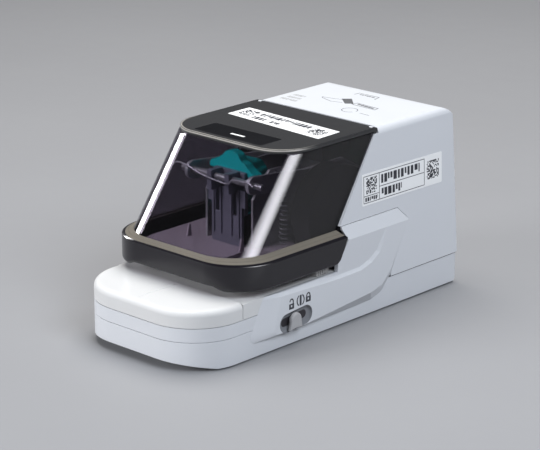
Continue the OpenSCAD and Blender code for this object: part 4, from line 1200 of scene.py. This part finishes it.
def groupOf(kind):
    # streak lights only work on what shines like glass, the inner one on the mechanism
    group = bpy.data.collections.get(kind)
    if not group:
        group = bpy.data.collections.new(kind)
        for name in studio[kind]:
            group.objects.link(bpy.data.objects[name])
    return group


def around(azimuth, height, reach):
    # azimuth 0 is in front, 90 to the right
    a, e = math.radians(azimuth), math.radians(height)
    return Vector((math.sin(a) * math.cos(e), -math.cos(a) * math.cos(e), math.sin(e))) * reach


studio = {"aim": (0, 0, 0.07), "floor": 6.0, "sky": (0.75, 0.78, 0.84, 1), "skyPower": 0.12,
          "shiny": ("coverGlass", "coverBezel", "ledgeBorder", "panelRim"),
          "inside": ("head_floor",) + tuple(camel(name) for name in (
              "front_plate", "head_plate_left", "head_plate_right", "head_spacers", "ram",
              "driver_blade", "cross_pin", "drive_arm_left", "drive_arm_right", "cartridge_case",
              "cartridge_lid", "release_lever", "cam_shaft", "cams")) + (
                  "wireBail", "returnSprings", "stapleStack")}


def beside(azimuth, height, reach):
    return Vector(studio["aim"]) + around(azimuth, height, reach)


# name, place, width, height, power, colour, group it works on, fade of its sides, tilt
lamps = (("top", (-0.35, 0.4, 1.8), 1.7, 1.5, 43, (1, 0.99, 0.97)),
         ("frontLeft", beside(-28, 14, 2.0), 1.0, 0.8, 34, (0.95, 0.97, 1)),
         ("rightFill", beside(80, 42, 2.0), 1.1, 0.9, 31, (0.86, 0.92, 1)),
         ("inner", beside(-20, 40, 1.2), 0.5, 0.5, 34, (0.95, 0.96, 1), "inside"),
         ("leftStreak", beside(-83, 22, 1.3), 0.34, 0.8, 26, (1, 1, 1), "shiny", 0.0, 10),
         ("rightStreak", beside(86, 14, 1.3), 1.9, 0.75, 84, (0.95, 0.96, 1), "shiny", 5.0))


def buildStudio():
    size = studio["floor"]
    floorMesh = bpy.data.meshes.new("studioFloor")
    corners = [(-size, -size, 0), (size, -size, 0), (size, size, 0), (-size, size, 0)]
    floorMesh.from_pydata(corners, [], [(0, 1, 2, 3)])
    floor = bpy.data.objects.new("studioFloor", floorMesh)
    show(floor)
    f = Finish("paleFloor")
    f.give("Base Color", f.mix(f.noise(3, 3), (0.28, 0.28, 0.29), (0.31, 0.31, 0.32)))
    f.give("Roughness", 0.62 + f.noise(40, 3) * 0.1)
    floorMesh.materials.append(f.mat)
    for name, place, *rest in lamps:
        softbox(name, place, *rest)
    world = bpy.data.worlds.new("studio")
    world.use_nodes = True
    sky = world.node_tree.nodes["Background"].inputs
    sky["Color"].default_value, sky["Strength"].default_value = studio["sky"], studio["skyPower"]
    bpy.context.scene.world = world
    bpy.context.scene.view_settings.view_transform = "Standard"


view = {"place": (1.04239, -1.11535, 0.55636), "towards": (-0.65066, 0.69499, -0.30600), "lens": 143.8,
        "sensor": 36, "near": 0.05, "far": 20}


def buildCamera():
    eye = bpy.data.cameras.new("camera")
    eye.lens, eye.sensor_width = view["lens"], view["sensor"]
    eye.clip_start, eye.clip_end = view["near"], view["far"]
    holder = bpy.data.objects.new("camera", eye)
    holder.location = view["place"]
    holder.rotation_mode = "QUATERNION"
    holder.rotation_quaternion = Vector(view["towards"]).to_track_quat("-Z", "Y")
    show(holder)
    bpy.context.scene.camera = holder


buildStudio()
buildCamera()
print("studio made")
